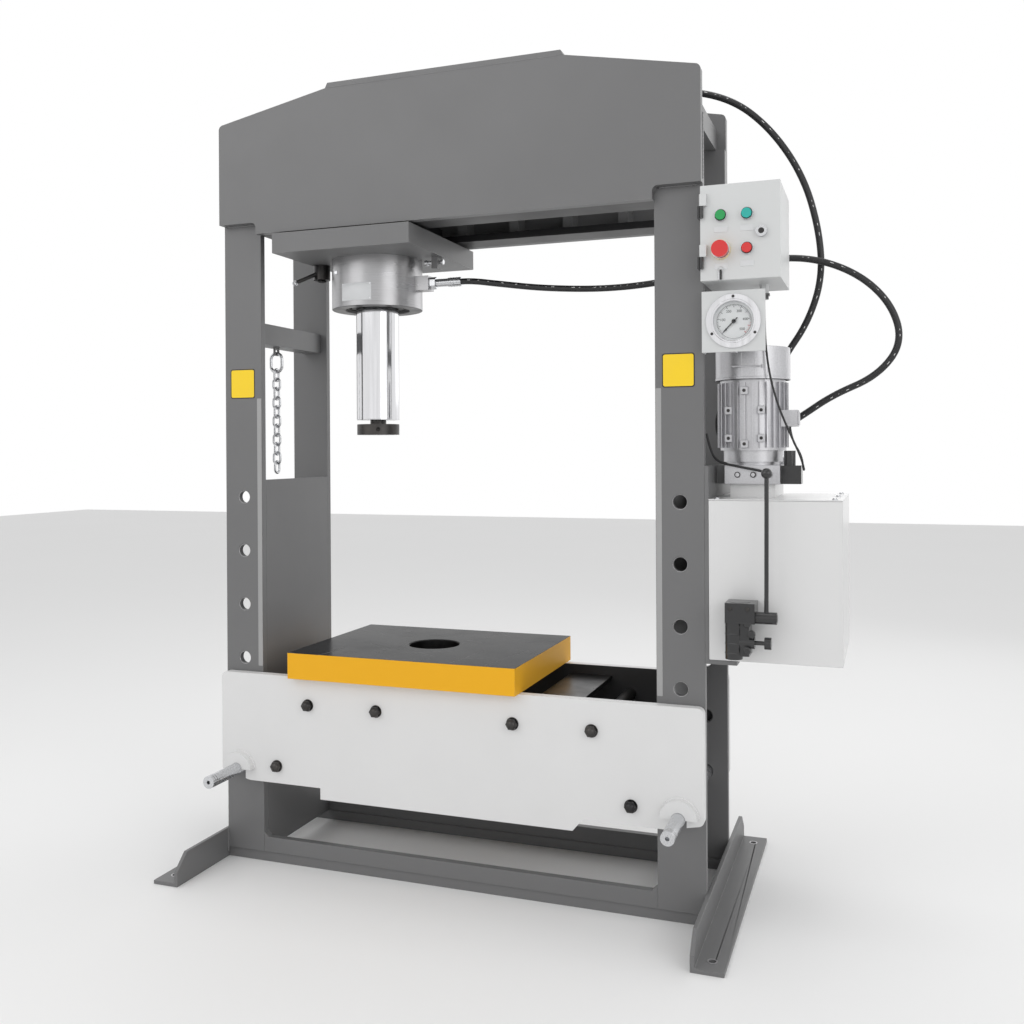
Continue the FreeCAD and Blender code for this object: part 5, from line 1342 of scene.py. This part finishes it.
@dataclass
class PowerPack:
    """The oil tank, pump block, motor and hand valve."""

    work: Piecework
    motor_axis: tuple[float, float] = (0.767, -0.020)
    louvres: int = 18

    def build(self) -> None:
        """Dress the power pack and add its seams, screws, cowl ribs and coil parts."""
        finishes = {
            "oil_tank": ("tank", 0.0025), "tank_lid": ("tank", 0.0010), "oil_pump": ("cast", 0.001),
            "manifold_block": ("alloy", 0.0012), "solenoid_valve": ("black", 0.0012),
            "motor_body": ("alloy", 0.0007),
            "fan_cowl": ("alloy", 0.0040), "motor_rotor": ("steel", 0.0), "valve_body": ("cast", 0.0022),
            "valve_lever": ("black", 0.0008), "release_knob": ("black", 0.0022),
            "hose_fittings": ("zinc", 0.0005),
        }
        for name, (key, bevel) in finishes.items():
            self.work.finish_node(name, key, bevel)
        self.add_tank_parts()
        self.add_cowl_ribs()
        self.add_motor_parts()
        self.add_valve_parts()
        self.add_pipes()

    def add_tank_parts(self) -> None:
        """The lid's screws and the tank's corner seam."""
        low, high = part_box("oil_tank")
        middle = ((low.x + high.x) / 2.0, (low.y + high.y) / 2.0)
        seam = bead("tank_corner_seam", (high.x - 0.0030, low.y + 0.0008, low.z + 0.008),
                    (high.x - 0.0030, low.y + 0.0008, high.z - 0.008), 0.0010, (0, 1, 0))
        self.work.add(seam, "frame", "tank", "tank_paint")
        lid_top = high.z + 0.003
        for number, (across, depth) in enumerate(((-1, -1), (1, -1), (-1, 1), (1, 1), (1, 0)), start=1):
            spot = (middle[0] + across * 0.135, middle[1] + depth * 0.172, lid_top)
            head = turned(f"lid_screw_{number}",
                          [(0.0062, 0.0), (0.0062, 0.0022), (0.0045, 0.0040), (0.0008, 0.0044)],
                          spot, Facing.UP, 24)
            self.work.add(head, "frame", "zinc", "zinc")

    def add_cowl_ribs(self) -> None:
        """Upright ribs and a raised plain arrow round the fan cowl, and its top grille rings."""
        low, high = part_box("fan_cowl")
        across, depth = self.motor_axis
        radius = (high.x - low.x) / 2.0
        for number in range(self.louvres):
            turn = 2.0 * math.pi * number / self.louvres
            reach = radius - 0.0006
            start = (across + reach * math.cos(turn), depth + reach * math.sin(turn), low.z + 0.006)
            stop = (start[0], start[1], high.z - 0.016)
            rib = tube(f"cowl_rib_{number + 1}", np.linspace(start, stop, 6), 0.0011, (0, 1, 0), 8)
            self.work.add(rib, "frame", "alloy", "cowl")
        for number, share in enumerate((0.30, 0.62, 0.86), start=1):
            ring = ring_piece(f"cowl_grille_{number}", radius * share - 0.0022, radius * share + 0.0022,
                              0.0016, 0.0005,
                              (across, depth, high.z - 0.0008), Facing.UP, 96)
            self.work.add(ring, "frame", "alloy", "cowl")
        shaft = slab("cowl_arrow_shaft", 0.070, 0.0035, 0.0040, 0.0012, 0.0006,
                     (across - 0.004, depth - radius + 0.0012, low.z + 0.030), Facing.FRONT)
        self.work.add(shaft, "frame", "alloy", "cowl")
        head = turned("cowl_arrow_head", [(0.0065, 0.0), (0.0058, 0.0016), (0.0010, 0.0018)],
                      (across + 0.034, depth - radius + 0.0055, low.z + 0.030), Facing.FRONT, 3)
        self.work.add(head, "frame", "alloy", "cowl")
        band = ring_piece("cowl_skirt", radius - 0.0022, radius + 0.0009, 0.0060, 0.0008,
                          (across, depth, low.z), Facing.UP, 96)
        self.work.add(band, "frame", "alloy", "cowl")

    def add_motor_parts(self) -> None:
        """Flange screws, lugs, the terminal lid, the block's port rims and the coil's stem."""
        across, depth = self.motor_axis
        body_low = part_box("motor_body")[0]
        for number in range(4):
            turn = math.pi / 4.0 + math.pi / 2.0 * number
            spot = (across + 0.066 * math.cos(turn), depth + 0.066 * math.sin(turn), body_low.z + 0.036)
            head = turned(f"flange_screw_{number + 1}",
                          [(0.0062, 0.0), (0.0062, 0.0050), (0.0050, 0.0062), (0.0030, 0.0062)],
                          spot, Facing.UP, 24)
            self.work.add(head, "frame", "zinc", "zinc")
        lug_places = [(-0.050, 0.134), (0.030, 0.134), (-0.050, 0.066), (0.030, 0.066), (-0.010, 0.182),
                      (-0.010, 0.052)]
        for number, (across_by, up) in enumerate(lug_places, start=1):
            out = math.sqrt(0.0885 ** 2 - across_by ** 2)
            lug = slab(f"motor_lug_{number}", 0.018, 0.020, 0.012, 0.003, 0.0010,
                       (across + across_by, depth - out + 0.008, body_low.z + up), Facing.FRONT)
            self.work.add(lug, "frame", "alloy", "motor_paint")
            screw = turned(f"motor_lug_screw_{number}",
                           [(0.0040, 0.0), (0.0040, 0.0022), (0.0030, 0.0030), (0.0004, 0.0030)],
                           (across + across_by, depth - out - 0.0038, body_low.z + up), Facing.FRONT, 20)
            self.work.add(screw, "frame", "black_steel", "black_bolt")
        lid = slab("terminal_lid", 0.040, 0.034, 0.0030, 0.004, 0.0008,
                   (across + 0.1118, depth - 0.024, body_low.z + 0.1140), Facing.RIGHT)
        self.work.add(lid, "frame", "alloy", "motor_paint")
        block_low, block_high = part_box("manifold_block")
        for number, over in enumerate((0.028, 0.066, 0.104), start=1):
            rim = ring_piece(f"plug_rim_{number}", 0.0050, 0.0072, 0.0008, 0.0002,
                             (block_low.x + over + 0.004, block_low.y + 0.0004,
                              (block_low.z + block_high.z) / 2.0),
                             Facing.FRONT, 24)
            self.work.add(rim, "frame", "black_steel", "black_bolt")
        coil_low, coil_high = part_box("solenoid_valve")
        stem = turned("coil_stem",
                      [(0.0120, 0.0), (0.0120, 0.026), (0.0095, 0.030), (0.0095, 0.0345), (0.0010, 0.0350)],
                      (coil_low.x + 0.0192, (coil_low.y + coil_high.y) / 2.0, coil_high.z - 0.0358),
                      Facing.UP, 32)
        self.work.add(stem, "frame", "zinc", "zinc")

    def add_valve_parts(self) -> None:
        """Bolt heads, ribs, bosses and a crown on the hand valve, and the release knob's grip."""
        low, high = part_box("valve_body")
        for number, (over, up) in enumerate(((0.014, 0.118), (0.054, 0.118)), start=1):
            head = turned(f"valve_screw_{number}",
                          [(0.0055, 0.0), (0.0055, 0.0030), (0.0045, 0.0042), (0.0026, 0.0042)],
                          (low.x + over, low.y + 0.0030, low.z + up), Facing.FRONT, 6)
            self.work.add(head, "frame", "black_steel", "black_bolt")
        for number, up in enumerate((0.012, 0.034, 0.056), start=1):
            ring = ring_piece(f"valve_rib_{number}", 0.0185, 0.0206, 0.0050, 0.0012,
                              (0.747, -0.235, low.z + up), Facing.UP, 48)
            self.work.add(ring, "frame", "cast", "cylinder_paint")
        for number, (over, up) in enumerate(((0.052, 0.022), (0.062, 0.060), (0.052, 0.084)), start=1):
            boss = turned(f"valve_boss_{number}",
                          [(0.0090, 0.0), (0.0088, 0.0085), (0.0070, 0.0100), (0.0010, 0.0102)],
                          (low.x + over, low.y + 0.0120, low.z + up), Facing.FRONT, 24)
            self.work.add(boss, "frame", "cast", "cylinder_paint")
        crown = turned("valve_crown",
                       [(0.0285, 0.0), (0.0290, 0.003), (0.0280, 0.0085), (0.0255, 0.0110), (0.0010, 0.0112)],
                       (low.x + 0.032, low.y + 0.034, high.z - 0.0105), Facing.UP, 48)
        self.work.add(crown, "frame", "cast", "cylinder_paint")
        knob_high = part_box("release_knob")[1]
        grip = turned("release_grip",
                      [(0.0010, 0.0), (0.0138, 0.0004), (0.0139, 0.0100), (0.0132, 0.0130), (0.0010, 0.0132)],
                      (knob_high.x - 0.0133, -0.235, 0.695), Facing.RIGHT, 60, 0.0, 0)
        self.work.add(grip, "knob", "black", "black_plastic")

    def add_pipes(self) -> None:
        """The gauge pipe from the block to the right pillar, and a small arc of hose beside the motor."""
        route = [(0.664, -0.100, 1.180), (0.676, -0.106, 1.128), (0.700, -0.113, 1.108),
                 (0.735, -0.114, 1.101),
                 (0.772, -0.113, 1.093), (0.790, -0.104, 1.090), (0.800, -0.098, 1.086)]
        path = smooth_route("gauge_pipe_line", route)
        pipe = tube("gauge_pipe", path, 0.0030, (0, 1, 0), 12)
        self.work.add(pipe, "frame", "rubber", "rubber_hose")
        arc = [(0.6800, 0.020, 1.250), (0.6700, 0.020, 1.225), (0.6690, 0.020, 1.195), (0.6760, 0.020, 1.172),
               (0.6860, 0.020, 1.160)]
        loop = tube("motor_side_lead", smooth_route("side_lead_line", arc), 0.0035, (0, 1, 0), 12)
        self.work.add(loop, "frame", "rubber", "rubber_hose")


@dataclass
class SwitchBox:
    """The switch box with its door, buttons, stop button, lock and keys."""

    work: Piecework
    label: tuple[float, float] = (0.031, 0.0135)

    def build(self) -> None:
        """Dress the box and add its labels, lenses, keys and glands."""
        finishes = {
            "control_box": ("box", 0.0016), "box_door": ("box", 0.0026), "door_hinges": ("black", 0.0008),
            "button_bezels": ("zinc", 0.0008), "green_button": ("green", 0.0012),
            "teal_button": ("teal", 0.0012),
            "red_button": ("red", 0.0012), "stop_button": ("red", 0.0030), "door_lock": ("zinc", 0.0010),
        }
        for name, (key, bevel) in finishes.items():
            self.work.finish_node(name, key, bevel)
        self.add_labels()
        self.add_button_parts()
        self.add_lock_and_keys()
        self.add_glands()

    def door_face(self) -> float:
        """The y of the door's front face, behind its bezels."""
        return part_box("button_bezels")[1].y

    def add_labels(self) -> None:
        """Blank label plates under each button."""
        face = self.door_face()
        width, height = self.label
        for number, (over, up) in enumerate(((0.721, 1.654), (0.781, 1.6535), (0.781, 1.5715),
                                             (0.721, 1.5675)), start=1):
            plate = slab(f"door_label_{number}", width, height, 0.0010, 0.0012, 0.0003, (over, face, up),
                         Facing.FRONT)
            self.work.add(plate, "door", "label", "zinc")

    def add_button_parts(self) -> None:
        """Crowned lenses on the push buttons, the stop button's yellow base and grooves."""
        for name, body in (("green_button", "green"), ("teal_button", "teal"), ("red_button", "red")):
            low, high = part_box(name)
            centre = ((low.x + high.x) / 2.0, low.y + 0.0016, (low.z + high.z) / 2.0)
            lens = turned(f"{name}_lens",
                          [(0.0098, 0.0), (0.0096, 0.0006), (0.0070, 0.0012), (0.0010, 0.0015)], centre,
                          Facing.FRONT, 48)
            self.work.add(lens, body, body, f"{body}_plastic")
            bezel = ring_piece(f"{name}_inner_ring", 0.0119, 0.0136, 0.0008, 0.0002,
                               (centre[0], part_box("button_bezels")[0].y + 0.0010, centre[2]), Facing.FRONT,
                               48)
            self.work.add(bezel, "door", "black", "bezel")
        low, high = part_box("stop_button")
        centre = ((low.x + high.x) / 2.0, 0.0, (low.z + high.z) / 2.0)
        base = ring_piece("stop_yellow_base", 0.0080, 0.0223, 0.0078, 0.0014,
                          (centre[0], self.door_face(), centre[2]), Facing.FRONT, 64)
        self.work.add(base, "door", "yellow", "bezel")
        top = turned("stop_crown",
                     [(0.0190, 0.0), (0.0180, 0.0011), (0.0135, 0.0016), (0.0128, 0.0010), (0.0010, 0.0013)],
                     (centre[0], low.y + 0.0017, centre[2]), Facing.FRONT, 64)
        self.work.add(top, "stop", "red", "red_plastic")

    def add_lock_and_keys(self) -> None:
        """The lock's keyway as a black slab of painted shade, one key on a ring hanging from the stop
        button's plate, and its tag.
        """
        low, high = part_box("door_lock")
        centre = ((low.x + high.x) / 2.0, low.y, (low.z + high.z) / 2.0)
        barrel = turned("lock_barrel", [(0.0068, 0.0), (0.0068, 0.0006), (0.0060, 0.0008), (0.0005, 0.0008)],
                        (centre[0], centre[1] + 0.0006, centre[2]), Facing.FRONT, 40)
        self.work.add(barrel, "lock", "black_steel", "zinc")
        # Painted shade: a black slab stands for the dark inside of the keyway.
        slot = slab("keyway_shade", 0.0018, 0.0100, 0.0008, 0.0006, 0.0002,
                    (centre[0], centre[1] + 0.0002, centre[2]),
                    Facing.FRONT)
        self.work.add(slot, "lock", "ink", "black_plastic")
        face = self.door_face()
        ring = ring_piece("key_ring", 0.0062, 0.0072, 0.0010, 0.0003, (0.7205, face - 0.0012, 1.5600),
                          Facing.FRONT, 32)
        self.work.add(ring, "door", "zinc", "zinc")
        key = slab("spare_key", 0.0060, 0.0200, 0.0014, 0.0020, 0.0003, (0.7165, face - 0.0006, 1.5470),
                   Facing.FRONT)
        self.work.add(key, "door", "zinc", "zinc")
        tag = slab("key_tag", 0.0055, 0.0230, 0.0020, 0.0018, 0.0004, (0.7205, face - 0.0022, 1.5480),
                   Facing.FRONT)
        self.work.add(tag, "door", "black", "black_plastic")

    def add_glands(self) -> None:
        """The cable gland's cap under the box."""
        nut = turned("bottom_gland_cap", [(0.0135, 0.0), (0.0135, 0.006), (0.0105, 0.0065), (0.0105, 0.014)],
                     (0.8066, -0.113, 1.5150), Facing.DOWN, 24)
        self.work.add(nut, "frame", "black", "black_plastic")


@dataclass
class PressureGauge:
    """The flanged gauge: case, dial with plain marks, and needle."""

    work: Piecework
    marks: int = 50
    sweep: float = 270.0

    def build(self) -> None:
        """Dress the gauge and lay out its dial."""
        self.work.finish_node("gauge_plate", "box", 0.0010)
        self.work.finish_node("gauge_case", "chrome", 0.0016)
        self.work.finish_node("gauge_glass", "glass")
        self.work.finish_node("gauge_needle", "ink")
        self.add_dial()
        self.add_bezel()

    def add_dial(self) -> None:
        """The white card, its ring of marks and plain numbers."""
        low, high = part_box("gauge_glass")
        centre = ((low.x + high.x) / 2.0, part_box("gauge_needle")[1].y - 0.0001, (low.z + high.z) / 2.0)
        card = turned("dial_card", [(0.0466, 0.0), (0.0466, 0.0003), (0.0005, 0.0003)], centre, Facing.FRONT,
                      96)
        self.work.add(card, "frame", "dial", "gauge_chrome")
        front = centre[1] - 0.0004
        for number in range(self.marks + 1):
            major = number % 5 == 0
            turn = math.radians(225.0 - self.sweep * number / self.marks)
            inner, outer = (0.0330 if major else 0.0362), 0.0400
            half = 0.00055 if major else 0.00030
            along = np.array([math.cos(turn), math.sin(turn)])
            across = np.array([-along[1], along[0]]) * half
            flat = np.array([along * inner - across, along * outer - across, along * outer + across,
                             along * inner + across])
            local = np.concatenate([np.column_stack([flat, np.zeros(4)]),
                                    np.column_stack([flat, np.full(4, 0.0002)])])
            faces = [(3, 2, 1, 0), (4, 5, 6, 7), (0, 1, 5, 4), (1, 2, 6, 5), (2, 3, 7, 6), (3, 0, 4, 7)]
            mark = mesh_piece(f"dial_mark_{number}",
                              stand(local, (centre[0], front, centre[2]), Facing.FRONT), faces)
            key = "red_ink" if number > 0.84 * self.marks else "ink"
            self.work.add(mark, "frame", key, "needle_red")
            if number % 10 == 0:
                self.add_number(str(number * 10), along * 0.0265, centre, front)
        ring = ring_piece("dial_circle", 0.0398, 0.0403, 0.0002, 0.00005, (centre[0], front, centre[2]),
                          Facing.FRONT, 96)
        self.work.add(ring, "frame", "ink", "needle_red")

    def add_number(self, words: str, offset: np.ndarray, centre: Point, front: float) -> None:
        """One plain number on the dial.

        Args:
            words: the digits.
            offset: its place on the dial from the centre.
            centre: the dial's centre.
            front: the y of the dial's face.
        """
        curve = bpy.data.curves.new(f"digits_{words}", "FONT")
        curve.body = words
        curve.size = 0.0085
        curve.align_x = "CENTER"
        curve.align_y = "CENTER"
        curve.extrude = 0.0001
        holder = bpy.data.objects.new("digits_holder", curve)
        bpy.context.scene.collection.objects.link(holder)
        bpy.context.view_layer.update()
        mesh = bpy.data.meshes.new_from_object(holder)
        bpy.data.objects.remove(holder)
        turn = Matrix.Rotation(math.radians(90.0), 4, "X")
        spot = Matrix.Translation((centre[0] + float(offset[0]), front - 0.0001,
                                   centre[2] + float(offset[1])))
        mesh.transform(spot @ turn)
        digits = bpy.data.objects.new(f"dial_number_{words}", mesh)
        bpy.context.scene.collection.objects.link(digits)
        self.work.add(digits, "frame", "ink", "needle_red")

    def add_bezel(self) -> None:
        """Three flange screws and the raised inner bezel round the glass."""
        low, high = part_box("gauge_case")
        glass_low, glass_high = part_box("gauge_glass")
        centre = ((glass_low.x + glass_high.x) / 2.0, (glass_low.z + glass_high.z) / 2.0)
        bezel = ring_piece("gauge_bezel", 0.0468, 0.0515, 0.0030, 0.0008,
                           (centre[0], low.y + 0.0008, centre[1]), Facing.FRONT, 96)
        self.work.add(bezel, "frame", "chrome", "gauge_chrome")
        for number in range(3):
            turn = math.radians(90.0 + 120.0 * number)
            spot = (centre[0] + 0.0573 * math.cos(turn), low.y, centre[1] + 0.0573 * math.sin(turn))
            screw = turned(f"gauge_screw_{number + 1}", [(0.0036, 0.0), (0.0032, 0.0012), (0.0006, 0.0018)],
                           spot,
                           Facing.FRONT, 24)
            self.work.add(screw, "frame", "black_steel", "gauge_chrome")
        boss = turned("needle_cap", [(0.0052, 0.0), (0.0048, 0.0012), (0.0006, 0.0016)],
                      (centre[0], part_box("gauge_needle")[0].y + 0.0006, centre[1]), Facing.FRONT, 32)
        self.work.add(boss, "needle", "black", "needle_red")


@dataclass
class Hoses:
    """Both pressure hoses and the motor cable, and the chain."""

    work: Piecework
    hose_diameter: float = 0.017
    cable_diameter: float = 0.0052
    routes: dict[str, list[Point]] = field(default_factory=dict)

    def build(self) -> None:
        """Lay the hoses and the cable, and dress the chain."""
        self.lay_pressure_hose("hose_lower", "lower_pressure_hose")
        self.lay_pressure_hose("hose_upper", "upper_pressure_hose")
        self.lay_cable()
        self.work.finish_node("lifting_chain", "zinc")

    def lay_pressure_hose(self, node: str, name: str) -> None:
        """Make one hose between the frame and the carriage, on no body.

        Args:
            node: the solid that it stands for.
            name: the piece's name.
        """
        route = ROUTES[node]
        path = smooth_route(f"{name}_line", route)
        hose = tube(name, path, self.hose_diameter / 2.0, (0, 1, 0), 20)
        self.work.add(hose, None, "hose", "rubber_hose")
        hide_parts(node)
        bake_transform(hose)

    def lay_cable(self) -> None:
        """Make the motor cable."""
        path = smooth_route("motor_cable_line", ROUTES["motor_cable"])
        cable = tube("motor_lead", path, self.cable_diameter / 2.0, (0.2, 0.97, 0.1), 12)
        self.work.add(cable, "frame", "rubber", "rubber_hose")
        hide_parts("motor_cable")


# The routes' points are those of the solid hoses, in metres.
ROUTES: dict[str, list[Point]] = {
    "hose_lower": [
        (-0.028, 0.0, 1.612), (0.002, 0.0, 1.612), (0.070, 0.002, 1.601), (0.220, 0.010, 1.579),
        (0.400, 0.024, 1.570),
        (0.570, 0.036, 1.586), (0.720, 0.044, 1.618), (0.880, 0.046, 1.630), (1.008, 0.050, 1.584),
        (1.093, 0.056, 1.502), (1.121, 0.064, 1.402), (1.061, 0.074, 1.322), (0.953, 0.086, 1.277),
        (0.879, 0.094, 1.227), (0.853, 0.094, 1.211),
    ],
    "hose_upper": [
        (-0.136, 0.0, 1.845), (-0.106, 0.0, 1.845), (-0.050, 0.004, 1.851), (0.110, 0.012, 1.887),
        (0.270, 0.020, 1.949),
        (0.420, 0.030, 2.025), (0.570, 0.040, 2.085), (0.708, 0.052, 2.049), (0.808, 0.064, 1.961),
        (0.886, 0.074, 1.835), (0.923, 0.084, 1.695), (0.929, 0.090, 1.575), (0.893, 0.094, 1.465),
        (0.831, 0.095, 1.375), (0.777, 0.095, 1.265), (0.768, 0.094, 1.180),
        (0.768, 0.094, 1.150),
    ],
    "motor_cable": [
        (0.8066, -0.113, 1.512), (0.8066, -0.113, 1.456), (0.8096, -0.113, 1.381), (0.8206, -0.113, 1.306),
        (0.8406, -0.113, 1.236), (0.8686, -0.113, 1.170), (0.8906, -0.112, 1.120), (0.8966, -0.099, 1.090),
        (0.8926, -0.071, 1.092), (0.8866, -0.053, 1.126), (0.863, -0.046, 1.164), (0.859, -0.044, 1.196),
    ],
}


# ---------------------------------------------------------------------------
# Studio
# ---------------------------------------------------------------------------
@dataclass
class Studio:
    """A plain pale floor, a sky that dims overhead, soft lights and the camera."""

    eye: Point = (1.0884, -2.6782, 1.1429)
    heading: float = 19.93
    pitch: float = -0.12
    roll: float = -0.33
    lens: float = 36.61
    shift: float = -0.0586
    floor_shade: float = 0.84
    horizon: float = 1.0
    zenith: float = 0.60

    def build(self) -> None:
        """Make the floor, the lights, the sky and the camera."""
        bpy.context.scene.view_settings.view_transform = "Standard"
        self.add_floor()
        self.add_sky()
        self.add_light("key_light", (-1.9, -3.2, 3.3), (0.0, 0.0, 1.1), 2.6, 26.0)
        self.add_light("fill_light", (3.4, -2.4, 2.2), (0.1, 0.0, 1.1), 2.4, 20.0)
        self.add_light("top_light", (0.0, 0.2, 4.2), (0.0, 0.0, 1.0), 3.0, 40.0)
        self.add_light("back_light", (1.6, 3.4, 2.6), (0.0, 0.0, 1.2), 2.4, 12.0)
        self.add_camera()

    def add_floor(self) -> None:
        """A wide pale floor, level with the press's feet."""
        points = np.array([(-14, -14, 0), (14, -14, 0), (14, 14, 0), (-14, 14, 0)], float)
        floor = mesh_piece("studio_floor", points, [(0, 1, 2, 3)])
        material, graph, shader, place = new_material("studio_floor_paint")
        shader.inputs["Roughness"].default_value = 0.7
        tone = graph.mix(graph.noise(place, 0.6), (self.floor_shade,) * 3, (self.floor_shade + 0.02,) * 3)
        graph.join(tone, shader.inputs["Base Color"])
        floor.data.materials.append(material)

    def add_sky(self) -> None:
        """A white sky round the horizon that dims overhead."""
        world = bpy.data.worlds.new("studio_sky")
        world.use_nodes = True
        sky = world.node_tree.nodes["Background"]
        sky.inputs["Color"].default_value = (1.0, 1.0, 1.0, 1.0)
        tree = world.node_tree
        way = tree.nodes.new("ShaderNodeTexCoord")
        parts = tree.nodes.new("ShaderNodeSeparateXYZ")
        shade = tree.nodes.new("ShaderNodeMapRange")
        shade.inputs["From Min"].default_value = 0.45
        shade.inputs["From Max"].default_value = 0.85
        shade.inputs["To Min"].default_value = self.horizon
        shade.inputs["To Max"].default_value = self.zenith
        tree.links.new(way.outputs["Generated"], parts.inputs[0])
        tree.links.new(parts.outputs[2], shade.inputs[0])
        tree.links.new(shade.outputs[0], sky.inputs["Strength"])
        bpy.context.scene.world = world

    def add_light(self, name: str, spot: Point, aim: Point, size: float, power: float) -> None:
        """One soft square light.

        Args:
            name: its name.
            spot: where it stands.
            aim: the point that it faces.
            size: its side.
            power: its power in watts.
        """
        lamp = bpy.data.lights.new(name, "AREA")
        lamp.size = size
        lamp.energy = power
        holder = bpy.data.objects.new(name, lamp)
        bpy.context.scene.collection.objects.link(holder)
        holder.location = spot
        holder.rotation_euler = (Vector(aim) - Vector(spot)).to_track_quat("-Z", "Y").to_euler()

    def add_camera(self) -> None:
        """The camera, from its heading, pitch and roll."""
        camera = bpy.data.cameras.new("camera")
        camera.lens = self.lens
        camera.sensor_width = 36.0
        camera.shift_y = self.shift
        camera.clip_end = 60.0
        holder = bpy.data.objects.new("camera", camera)
        bpy.context.scene.collection.objects.link(holder)
        level = Matrix.Rotation(math.radians(self.heading), 4, "Z")
        tilt = Matrix.Rotation(math.radians(90.0 + self.pitch), 4, "X")
        roll = Matrix.Rotation(math.radians(self.roll), 4, "Z")
        holder.matrix_world = Matrix.Translation(self.eye) @ level @ tilt @ roll
        bpy.context.scene.camera = holder


def main() -> None:
    """Build the whole scene in order."""
    logging.basicConfig(level=logging.INFO, format="%(name)s: %(message)s")
    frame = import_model()
    Studio().build()
    work = Piecework(frame["nodes"], Paintbox(), smooth_by_angle())
    Hoses(work).build()
    WeldedFrame(work).build()
    LiftTable(work).build()
    Cylinder(work).build()
    PowerPack(work).build()
    SwitchBox(work).build()
    PressureGauge(work).build()
    log.info("%d fine pieces", work.count)


if __name__ == "__main__":
    main()
